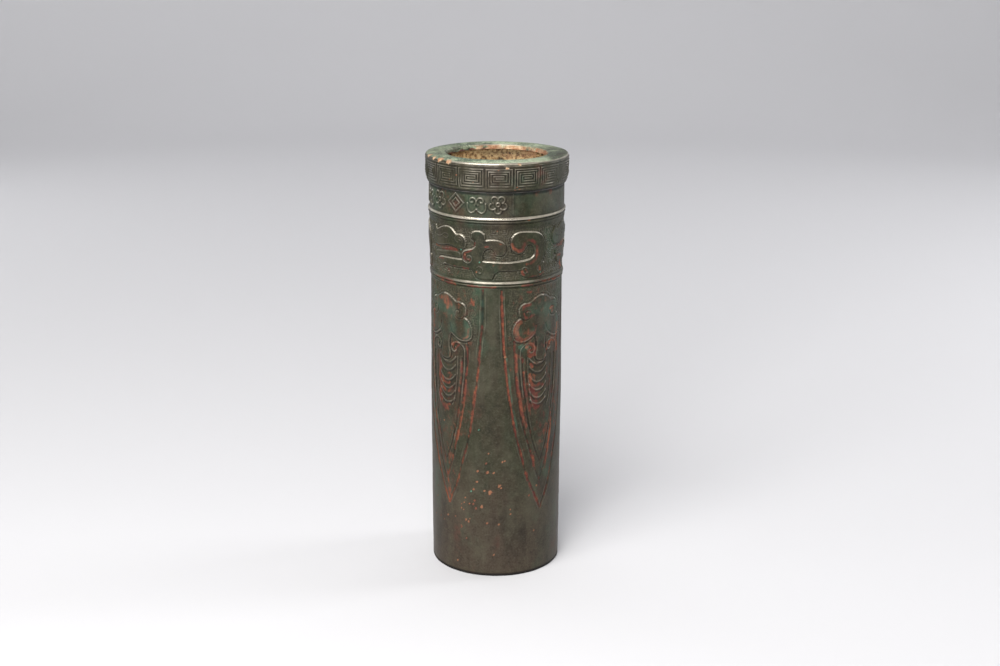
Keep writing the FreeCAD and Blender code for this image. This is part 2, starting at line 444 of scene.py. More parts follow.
class Shade:
    """A value in a material's node tree that takes part in sums."""

    def __init__(self, bench: "Bench", socket: bpy.types.NodeSocket) -> None:
        """Keeps the socket and the bench that it belongs to."""
        self.bench, self.socket = bench, socket

    def _sum(self, operation: str, first: Any, second: Any) -> "Shade":
        """Adds one Math node."""
        return self.bench.node("ShaderNodeMath", {"operation": operation}, {0: first, 1: second})

    def __add__(self, other: Any) -> "Shade":
        """This plus other."""
        return self._sum("ADD", self, other)

    __radd__ = __add__

    def __sub__(self, other: Any) -> "Shade":
        """This less other."""
        return self._sum("SUBTRACT", self, other)

    def __rsub__(self, other: Any) -> "Shade":
        """Other less this."""
        return self._sum("SUBTRACT", other, self)

    def __mul__(self, other: Any) -> "Shade":
        """This times other."""
        return self._sum("MULTIPLY", self, other)

    __rmul__ = __mul__

    def clamp(self) -> "Shade":
        """This, kept from 0 to 1."""
        return self.bench.node("ShaderNodeClamp", {}, {"Value": self})

    def steps(self, low: float, high: float) -> "Shade":
        """Turns this into a smooth rise.

        Args:
            low: Where the rise starts, at 0.
            high: Where it ends, at 1.

        Returns:
            The rise.
        """
        return self.bench.node(
            "ShaderNodeMapRange",
            {"interpolation_type": "SMOOTHSTEP"},
            {"Value": self, "From Min": low, "From Max": high},
        )


class Bench:
    """Builds one material from nodes."""

    def __init__(self, name: str) -> None:
        """Starts an empty material.

        Args:
            name: The material's name.
        """
        self.material = bpy.data.materials.new(name)
        self.material.use_nodes = True
        self.tree = self.material.node_tree
        self.tree.nodes.clear()
        self.places = self.node("ShaderNodeTexCoord", {}, {}, "Object")

    def node(self, kind: str, settings: dict[str, Any], inputs: dict[Any, Any], output: Any = 0) -> Shade:
        """Adds any node.

        Args:
            kind: Blender's name of the node's type.
            settings: Its own settings, set first.
            inputs: Values or links of its sockets.
            output: Which of its outputs to give back.

        Returns:
            The chosen output.
        """
        made = self.tree.nodes.new(kind)
        for key, value in settings.items():
            setattr(made, key, value)
        for key, value in inputs.items():
            if isinstance(value, Shade):
                self.tree.links.new(value.socket, made.inputs[key])
            else:
                made.inputs[key].default_value = value
        return Shade(self, made.outputs[output])

    def mark(self, mark: Mark) -> Shade:
        """Reads what the vertices tell."""
        return self.node("ShaderNodeAttribute", {"attribute_name": mark.value}, {}, "Fac")

    def moved(self, shift: Sequence[float], scale: Sequence[float] = (1.0, 1.0, 1.0)) -> Shade:
        """The places, moved and scaled."""
        return self.node("ShaderNodeMapping", {}, {"Vector": self.places, "Location": shift, "Scale": scale})

    def grain(self, millimetres: float, detail: float = 3.0, shift: float = 0.0,
              stretch: float = 1.0) -> Shade:
        """Noise with lumps of the given size, from 0 to 1.

        Args:
            millimetres: Size of the largest lumps.
            detail: How many finer layers it holds.
            shift: Moves it, so that two like noises differ.
            stretch: How much longer the lumps are up the wall.

        Returns:
            The noise.
        """
        moved = self.moved((shift, shift * 0.7, shift * 1.3), (1.0, 1.0, 1.0 / stretch))
        return self.node("ShaderNodeTexNoise", {"noise_dimensions": "3D"}, {
            "Vector": moved,
            "Scale": 1.0 / (millimetres * METRES * 2.0),
            "Detail": detail,
            "Roughness": 0.55,
        })

    def bump(self, strength: float, millimetres: float, height: Shade) -> Shade:
        """Turns a height into a bumped normal.

        Args:
            strength: How strong the bump is, from 0 to 1.
            millimetres: Its full depth.
            height: The height, from 0 to about 1.

        Returns:
            The normal.
        """
        return self.node("ShaderNodeBump", {}, {
            "Strength": strength, "Distance": millimetres * METRES, "Height": height,
        })

    def specks(self, millimetres: float, radius: float, shift: float = 0.0) -> Shade:
        """Round specks scattered one to a cell.

        Args:
            millimetres: Size of one cell.
            radius: A speck's radius as a share of the cell.
            shift: Moves them, so that two like scatters differ.

        Returns:
            1 in a speck and 0 elsewhere.
        """
        moved = self.moved((shift, shift, shift))
        scale = 1.0 / (millimetres * METRES)
        away = self.node(
            "ShaderNodeTexVoronoi", {"feature": "F1"}, {"Vector": moved, "Scale": scale}, "Distance")
        return 1.0 - away.steps(radius * 0.6, radius)

    def blend(self, share: Any, first: Any, second: Any) -> Shade:
        """Mixes two colours."""
        return self.node("ShaderNodeMix", {"data_type": "RGBA"}, {0: share, 6: first, 7: second}, 2)

    def finish(self, inputs: dict[str, Any]) -> bpy.types.Material:
        """Adds the surface shader.

        Args:
            inputs: Values or links of the shader's sockets.

        Returns:
            The finished material.
        """
        surface = self.node("ShaderNodeBsdfPrincipled", {}, inputs)
        end = self.tree.nodes.new("ShaderNodeOutputMaterial")
        self.tree.links.new(surface.socket, end.inputs["Surface"])
        return self.material


@dataclass(frozen=True)
class Patina:
    """Old bronze patina with red in the recesses, verdigris tints, wear on ridges with painted highlight on
    upward-facing edges, and painted shade in recesses and under overhangs.
    """

    name: str
    green: Colour = (0.0165, 0.0218, 0.0098, 1.0)
    brown: Colour = (0.0342, 0.0232, 0.0145, 1.0)
    deep: Colour = (0.0045, 0.004, 0.0033, 1.0)
    verdigris: Colour = (0.030, 0.105, 0.062, 1.0)
    light: Colour = (0.073, 0.067, 0.045, 1.0)
    earth: Colour = (0.077, 0.061, 0.048, 1.0)
    lip: Colour = (0.39, 0.455, 0.315, 1.0)
    # Pale bronze of wear on crests and of painted highlights.
    wear_highlight: Colour = (0.56, 0.51, 0.42, 1.0)
    red: Colour = (0.080, 0.0205, 0.016, 1.0)
    orange: Colour = (0.175, 0.052, 0.026, 1.0)
    spot: Colour = (0.20, 0.088, 0.048, 1.0)
    rose: Colour = (0.42, 0.205, 0.105, 1.0)
    cream: Colour = (0.68, 0.50, 0.32, 1.0)
    dull_spot: Colour = (0.125, 0.046, 0.028, 1.0)
    lip_shade: Colour = (0.034, 0.07, 0.046, 1.0)
    lip_middle: Colour = (0.085, 0.12, 0.078, 1.0)
    teal: Colour = (0.14, 0.46, 0.34, 1.0)
    brown_share: float = 0.5
    gloss: float = 0.36
    bump: float = 0.6

    def tone(self, bench: Bench) -> tuple[Shade, Shade, Shade]:
        """Paints the patina's plain ground colour.

        Args:
            bench: The bench that the material is built on.

        Returns:
            The colour, the middling mottle and the fine grain.
        """
        clouds = bench.grain(12.0, 4.0, 0.11, 2.6)
        streaks = bench.grain(2.4, 4.0, 0.77, 6.0)
        mottle = bench.grain(1.6, 4.0, 0.37)
        fine = bench.grain(0.45, 3.0, 0.53)
        up = bench.node("ShaderNodeSeparateXYZ", {}, {"Vector": bench.places}, "Z")
        low = 1.0 - (up * (1.0 / METRES)).steps(10.0, 75.0)
        warm = (clouds * 1.0 + streaks * 0.4 + low * 0.25 + (self.brown_share - 1.22)).steps(-0.3, 0.36)
        colour = bench.blend(warm, self.green, self.brown)
        colour = bench.blend((1.0 - (up * (1.0 / METRES)).steps(15.0, 75.0)) * 0.24, colour, self.earth)
        tint = bench.grain(6.0, 3.0, 0.71, 1.6).steps(0.5, 0.74)
        tint = tint * bench.grain(26.0, 2.0, 0.9).steps(0.42, 0.6)
        colour = bench.blend(tint * 0.34, colour, self.verdigris)
        colour = bench.blend(streaks.steps(0.48, 0.8) * 0.3, colour, self.deep)
        colour = bench.blend(fine.steps(0.46, 0.3) * 0.36 + mottle.steps(0.5, 0.3) * 0.24, colour, self.deep)
        colour = bench.blend(bench.grain(5.0, 4.0, 0.15, 2.5).steps(0.5, 0.32) * 0.36, colour, self.deep)
        colour = bench.blend(bench.grain(7.0, 3.0, 0.55, 1.8).steps(0.5, 0.68) * 0.32, colour, self.light)
        light = mottle.steps(0.46, 0.72) * 0.18 + fine.steps(0.5, 0.72) * 0.32
        return bench.blend(light, colour, self.light), mottle, fine

    def make(self) -> bpy.types.Material:
        """Builds the material.

        Returns:
            The new material.
        """
        bench = Bench(self.name)
        colour, mottle, fine = self.tone(bench)
        hollow, wear_highlight = bench.mark(Mark.PAINTED_SHADE_AND_PITS), bench.mark(Mark.WEAR_AND_HIGHLIGHT)
        red, ground = bench.mark(Mark.RED), bench.mark(Mark.GROUND)
        lip = bench.mark(Mark.LIP)
        patches = mottle * 0.4 + fine * 0.5 + bench.grain(9.0, 2.0, 0.35) * 0.4
        dusk = bench.blend(fine, self.lip_shade, self.lip_middle)
        paler = bench.blend(patches.steps(0.52, 0.72), dusk, self.lip)
        colour = bench.blend((lip * (0.75 + fine * 0.35)).clamp(), colour, paler)
        colour = bench.blend((ground * (0.2 + fine.steps(0.4, 0.65) * 0.35)).clamp(), colour, self.light)
        # Painted shade: near black in recesses, on downward-facing flanks, at the foot and under the collar,
        # less on the patterned ground.
        colour = bench.blend((hollow * (0.92 - ground * 0.35)).clamp(), colour, self.deep)
        # Wear and painted highlight: pale bronze, metal and coat where the mark is set.
        wear_highlight_share = (wear_highlight * (0.45 + mottle * 1.0)).steps(0.05, 1.0)

        hues = bench.grain(5.0, 5.0, 0.2, 2.0) * 0.55 + bench.grain(0.9, 4.0, 0.44) * 0.45
        tone = bench.blend(hues.steps(0.43, 0.6), self.red, self.orange)
        mottled = (bench.grain(0.9, 6.0, 0.31, 1.6) - 0.72) * 2.1 + (bench.grain(2.0, 4.0, 0.61) - 0.5) * 1.4
        rust = (red * 1.25 + mottled).steps(0.0, 0.9)
        colour = bench.blend(rust * 0.88, colour, tone)
        stain = bench.grain(7.0, 4.0, 0.27, 2.0).steps(0.58, 0.75) * mottle.steps(0.4, 0.62) * 0.4
        colour = bench.blend(stain, colour, self.red)
        colour = bench.blend(wear_highlight_share * 0.9, colour, self.wear_highlight)
        spot = bench.mark(Mark.SPOT)
        blot = bench.blend(bench.grain(3.0, 2.0, 0.95).steps(0.47, 0.6), self.spot, self.dull_spot)
        chalky = (bench.grain(1.5, 4.0, 0.83) * 0.7 + fine * 0.3).steps(0.42, 0.6)
        pale = bench.blend(chalky, self.rose, self.cream)
        colour = bench.blend((spot * (0.8 + fine * 0.5)).clamp(), colour, bench.blend(lip, blot, pale))
        salt = bench.mark(Mark.TEAL) * (0.4 + mottle * 0.8)
        colour = bench.blend(salt.clamp(), colour, self.teal)

        dull = self.gloss + mottle * 0.2 + hollow * 0.2 + rust * 0.2 - wear_highlight_share * 0.2 + spot * 0.3 + lip * 0.12
        pits = bench.grain(0.28, 2.0, 0.66)
        shape = fine * 0.6 + pits * 0.35 + mottle * 0.9
        return bench.finish({
            "Base Color": colour,
            "Roughness": dull.clamp(),
            "Metallic": wear_highlight_share * 0.78,
            "Normal": bench.bump(self.bump, 0.1, shape),
            "IOR": 1.27,
            "Coat Weight": (wear_highlight_share * 0.6).clamp(),
            "Coat Roughness": 0.25,
        })


@dataclass(frozen=True)
class EarthyCrust:
    """Golden-brown granular crust of the vase's inside."""

    name: str
    gold: Colour = (0.70, 0.50, 0.25, 1.0)
    brown: Colour = (0.32, 0.18, 0.075, 1.0)
    dark: Colour = (0.022, 0.016, 0.008, 1.0)
    pink: Colour = (0.60, 0.30, 0.17, 1.0)

    def make(self) -> bpy.types.Material:
        """Builds the material.

        Returns:
            The new material.
        """
        bench = Bench(self.name)
        lumps = bench.grain(0.7, 5.0, 0.12)
        patches = bench.grain(5.0, 3.0, 0.4)
        colour = bench.blend(lumps.steps(0.4, 0.6), self.brown, self.gold)
        colour = bench.blend(patches.steps(0.55, 0.75) * 0.6, colour, self.pink)
        # Painted shadow under the lip, and dark pits.
        colour = bench.blend(bench.mark(Mark.PAINTED_SHADE_AND_PITS), colour, self.dark)
        spots = bench.specks(1.3, 0.3, 0.6) * patches.steps(0.35, 0.55) + lumps.steps(0.42, 0.34)
        colour = bench.blend((spots * 0.8).clamp(), colour, self.dark)
        return bench.finish({
            "Base Color": colour,
            "Roughness": (0.7 + lumps * 0.2).clamp(),
            "Normal": bench.bump(0.8, 0.25, lumps + bench.grain(0.4, 2.0, 0.9) * 0.5),
            "IOR": 1.45,
        })


@dataclass(frozen=True)
class TarnishedSolder:
    """Dull grey solder, darkened and wrinkled as it set."""

    name: str
    grey: Colour = (0.14, 0.13, 0.11, 1.0)
    dark: Colour = (0.045, 0.04, 0.034, 1.0)
    bare: float = 0.5

    def make(self) -> bpy.types.Material:
        """Builds the material.

        Returns:
            The new material.
        """
        bench = Bench(self.name)
        lumps = bench.grain(1.5, 4.0, 0.2)
        colour = bench.blend(lumps.steps(0.38, 0.68), self.dark, self.grey)
        return bench.finish({
            "Base Color": colour,
            "Roughness": (0.45 + lumps * 0.25).clamp(),
            "Metallic": self.bare,
            "Normal": bench.bump(0.5, 0.1, lumps),
        })


def plain_finish(name: str, colour: Colour, roughness: float) -> bpy.types.Material:
    """A plain studio surface for the floor."""
    bench = Bench(name)
    return bench.finish({"Base Color": colour, "Roughness": roughness})


# The wall's own line


@dataclass(frozen=True)
class WallLine:
    """Radius of the turned wall at each level, beads left out."""

    levels: tuple[float, ...] = (0.0, 95.0, 142.0, 146.0, 161.42, 171.7, 175.7, 186.4)
    radii: tuple[float, ...] = (30.9, 31.2, 30.85, 31.0, 31.7, 31.7, 31.5, 31.5)
    foot_round: float = 0.6

    def radius(self, levels: np.ndarray) -> np.ndarray:
        """Radius at each level, with the foot's rounding.

        Args:
            levels: The levels in millimetres.

        Returns:
            The radii in millimetres.
        """
        plain = np.interp(levels, self.levels, self.radii)
        below = np.clip(self.foot_round - levels, 0.0, self.foot_round)
        return plain - (self.foot_round - np.sqrt(np.maximum(self.foot_round**2 - below**2, 0.0)))


WALL = WallLine()


def standing_marks(height: np.ndarray, levels: np.ndarray, wrap: bool, wear_highlight_weights: tuple[float, float],
                   reach: int = 3, scale: float = 0.07) -> dict[Mark, np.ndarray]:
    """Finds what stands out and what lies deep in a relief, for wear with painted highlight and for painted
    shade.

    Args:
        height: The relief in millimetres.
        levels: The rows' levels in millimetres.
        wrap: Whether the columns go all the way round.
        wear_highlight_weights: How far crests show wear and upper edges a painted highlight.
        reach: How many neighbours to compare with.
        scale: The difference in millimetres that counts as full.

    Returns:
        The mark of wear and painted highlight, stronger on upper edges than on lower ones, and the mark of
        painted shade, in recesses that do not face up.
    """
    near = height - spread(height, reach, wrap)
    slope = -np.gradient(height, levels, axis=0)
    # Upward-facing slopes get more painted highlight and no painted shade, as if lit from above.
    upward = smooth_step(slope, -0.05, 0.3)
    crests = np.clip(near / scale, 0.0, 1.0) * (0.65 + 0.35 * upward)
    return {
        Mark.WEAR_AND_HIGHLIGHT: crests * wear_highlight_weights[0] + smooth_step(slope, 0.4, 0.8) * wear_highlight_weights[1],
        Mark.PAINTED_SHADE_AND_PITS: np.clip(-near / scale, 0.0, 1.0) * (1.0 - upward),
    }


def settle(piece: bpy.types.Object, finish: bpy.types.Material, node: str, slot: str) -> None:
    """Gives a piece its finish and its place on the vase.

    Args:
        piece: The piece.
        finish: Its material.
        node: The CAD node that it stands for.
        slot: The record's material slot; not used.
    """
    piece.data.materials.append(finish)
    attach(piece, BODY)
    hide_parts(node)
    LOG.info("%s: %d faces", piece.name, len(piece.data.polygons))


def wall_piece(name: str, relief: Relief, finish: bpy.types.Material, wear_highlight_weights: tuple[float, float] = (0.4, 0.5),
               back: float = BACK_RADIUS, beads: np.ndarray | None = None) -> None:
    """Makes one closed piece of the wall from its relief.

    Args:
        name: The piece's name.
        relief: Heights and marks over its outside.
        finish: Its material.
        wear_highlight_weights: How far crests show wear and upper edges a painted highlight.
        back: Radius of its plain back.
        beads: What turned beads add to the radius at each level.
    """
    turned = WALL.radius(relief.z) + (0.0 if beads is None else beads[:, None])
    skin = cast_skin(places_of(turned, relief.deg, relief.z))
    raised = relief.height + (0.0 if beads is None else beads[:, None])
    marks = standing_marks(raised, relief.levels, relief.wrap, wear_highlight_weights)
    # Wear and painted highlight, topped by the beads' painted highlight; painted shade, with the painted
    # shadows at the foot and under the collar.
    wear_highlight = marks[Mark.WEAR_AND_HIGHLIGHT] * relief.wear_highlight_share * (1.0 - 0.75 * relief.ground)
    marks[Mark.WEAR_AND_HIGHLIGHT] = np.maximum(wear_highlight, relief.painted_highlight)
    marks[Mark.PAINTED_SHADE_AND_PITS] = np.maximum(marks[Mark.PAINTED_SHADE_AND_PITS], relief.painted_shadow)
    marks |= {Mark.RED: relief.red, Mark.GROUND: relief.ground}
    marks |= {Mark.SPOT: relief.spot, Mark.TEAL: relief.teal}
    outside = places_of(turned + relief.height + skin, relief.deg, relief.z)
    behind = [
        places_of(np.full_like(relief.degrees, back), relief.degrees, relief.levels[end])[None]
        for end in (-1, 0)
    ]
    places = np.concatenate([outside, *behind])
    blank = np.zeros((2, places.shape[1]))
    piece = loft(name, places, {k: np.vstack([v, blank]) for k, v in marks.items()}, relief.wrap)
    settle(piece, finish, *WALL_NODE)


def around(step: float, radius: float = RELIEF_RADIUS, units: int = 1) -> np.ndarray:
    """Columns all the way round, about a step apart and whole in each unit."""
    count = round(2.0 * math.pi * radius / step / units) * units
    return -180.0 + np.arange(count) * FULL_TURN / count


def rows_between(low: float, high: float, step: float) -> np.ndarray:
    """Levels from low to high, about a step apart."""
    return np.linspace(low, high, max(2, round((high - low) / step) + 1))


# The cast wall


@dataclass
class LowerBody:
    """The plain foot of the wall under the blades, with its scattered rust."""

    top: float = 30.0
    step: float = 0.42
    rebate: float = 28.45
    foot_shadow_levels: tuple[float, float] = (1.3, 1.65)

    def build(self, finish: bpy.types.Material) -> None:
        """Makes the piece.

        Args:
            finish: The wall's material.
        """
        foot = WALL.foot_round * (1.0 - np.cos(np.linspace(0.02, math.pi / 2, 8)))
        levels = np.concatenate([[0.0], foot, rows_between(WALL.foot_round, self.top, self.step)[1:]])
        relief = Relief(around(self.step), levels, wrap=True)
        scatter_rust(relief)
        # Painted contact shadow: the foot turns dark below about 1.3 to 1.65 millimetres.
        relief.painted_shadow = 1.1 * (1.0 - smooth_step(relief.z, *self.foot_shadow_levels))
        wall_piece("lower_body", relief, finish, back=self.rebate)


RUST_SPOTS: tuple[Dot, ...] = (
    (-8.4, 57.6, 0.5), (-16.0, 53.5, 0.5), (-7.5, 53.1, 0.72), (-1.8, 52.9, 0.5), (7.8, 58.8, 0.36),
    (5.7, 58.4, 0.36), (-16.4, 47.9, 0.5), (-19.7, 44.0, 0.5), (-9.8, 43.7, 0.5), (-5.1, 42.9, 0.95),
    (3.1, 46.2, 0.72), (4.5, 45.2, 0.5), (-27.8, 39.0, 0.36), (-28.8, 36.6, 0.36), (-18.8, 38.3, 0.5),
    (-20.3, 36.4, 0.5), (-23.5, 36.3, 0.36), (-17.6, 34.4, 0.5), (-12.5, 35.4, 0.72), (-31.5, 35.5, 0.36),
    (-31.5, 33.5, 0.36), (-29.5, 32.8, 0.36), (-47.4, 27.7, 0.5), (-38.1, 28.3, 0.36), (-27.1, 27.7, 0.5),
    (-24.6, 27.2, 0.5), (-23.2, 28.7, 0.36), (-31.7, 23.8, 0.5), (-32.1, 24.5, 0.36), (-7.6, 27.3, 0.5),
    (2.8, 26.8, 0.36), (12.8, 34.2, 0.36), (13.2, 31.8, 0.36), (30.6, 40.0, 0.5), (38.4, 44.1, 0.5),
    (-68.7, 24.4, 0.36), (-58.3, 25.4, 0.36), (-36.3, 5.6, 0.5), (-1.5, 11.0, 0.36), (-26.7, 18.2, 0.36),
    (-63.3, 39.9, 0.36), (-64.5, 34.5, 0.36), (-52.4, 24.5, 0.36), (-6.3, 62.6, 0.36), (-52.0, 75.1, 0.36),
    (36.3, 21.5, 0.36), (7.3, 109.7, 0.55),
)
GREEN_SALTS: tuple[Dot, ...] = (
    (-14.9, 74.1, 0.42), (-22.1, 42.8, 0.4), (20.3, 114.0, 1.0), (22.5, 113.2, 1.6), (27.0, 113.8, 1.3),
    (150.0, 84.0, 0.4),
)


def blister(relief: Relief, degrees: float, level: float, size: float) -> np.ndarray:
    """How far into a small ragged blister each place lies, from 0 to 1.

    Args:
        relief: The patch that it lies on.
        degrees: Where it lies round the wall.
        level: Where it lies up the wall, in millimetres.
        size: Its radius in millimetres.

    Returns:
        The share at each place.
    """
    turned = (degrees + 180.0) % FULL_TURN - 180.0
    result = np.zeros_like(relief.u)
    for shifted in (turned - FULL_TURN, turned, turned + FULL_TURN):
        point = np.array([[shifted * ARC, level], [shifted * ARC + 0.3 * size, level + 0.4 * size]])
        away = relief.distance(point, size * 2.0)
        result = np.maximum(result, 1.0 - smooth_step(away * relief.ragged, size * 0.5, size * 1.1))
    return result


def scatter_rust(relief: Relief) -> None:
    """Puts small blisters of orange rust on the wall, in front at listed places and elsewhere by a fixed
    draw.

    Args:
        relief: The patch to put them on.
    """
    drawn = np.random.default_rng(7)
    others = [
        (turn + drawn.normal(0.0, 14.0), drawn.uniform(20.0, 60.0), drawn.uniform(0.3, 0.8))
        for turn in (100.0, 170.0, -130.0) for _ in range(18)
    ]
    for degrees, level, size in (*RUST_SPOTS, *others):
        spot = blister(relief, degrees, level, size)
        relief.height += 0.05 * spot
        relief.spot = np.maximum(relief.spot, spot)
    for degrees, level, size in GREEN_SALTS:
        share = min(1.0, 0.27 / size) ** 1.7
        relief.teal = np.maximum(relief.teal, share * blister(relief, degrees, level, size))


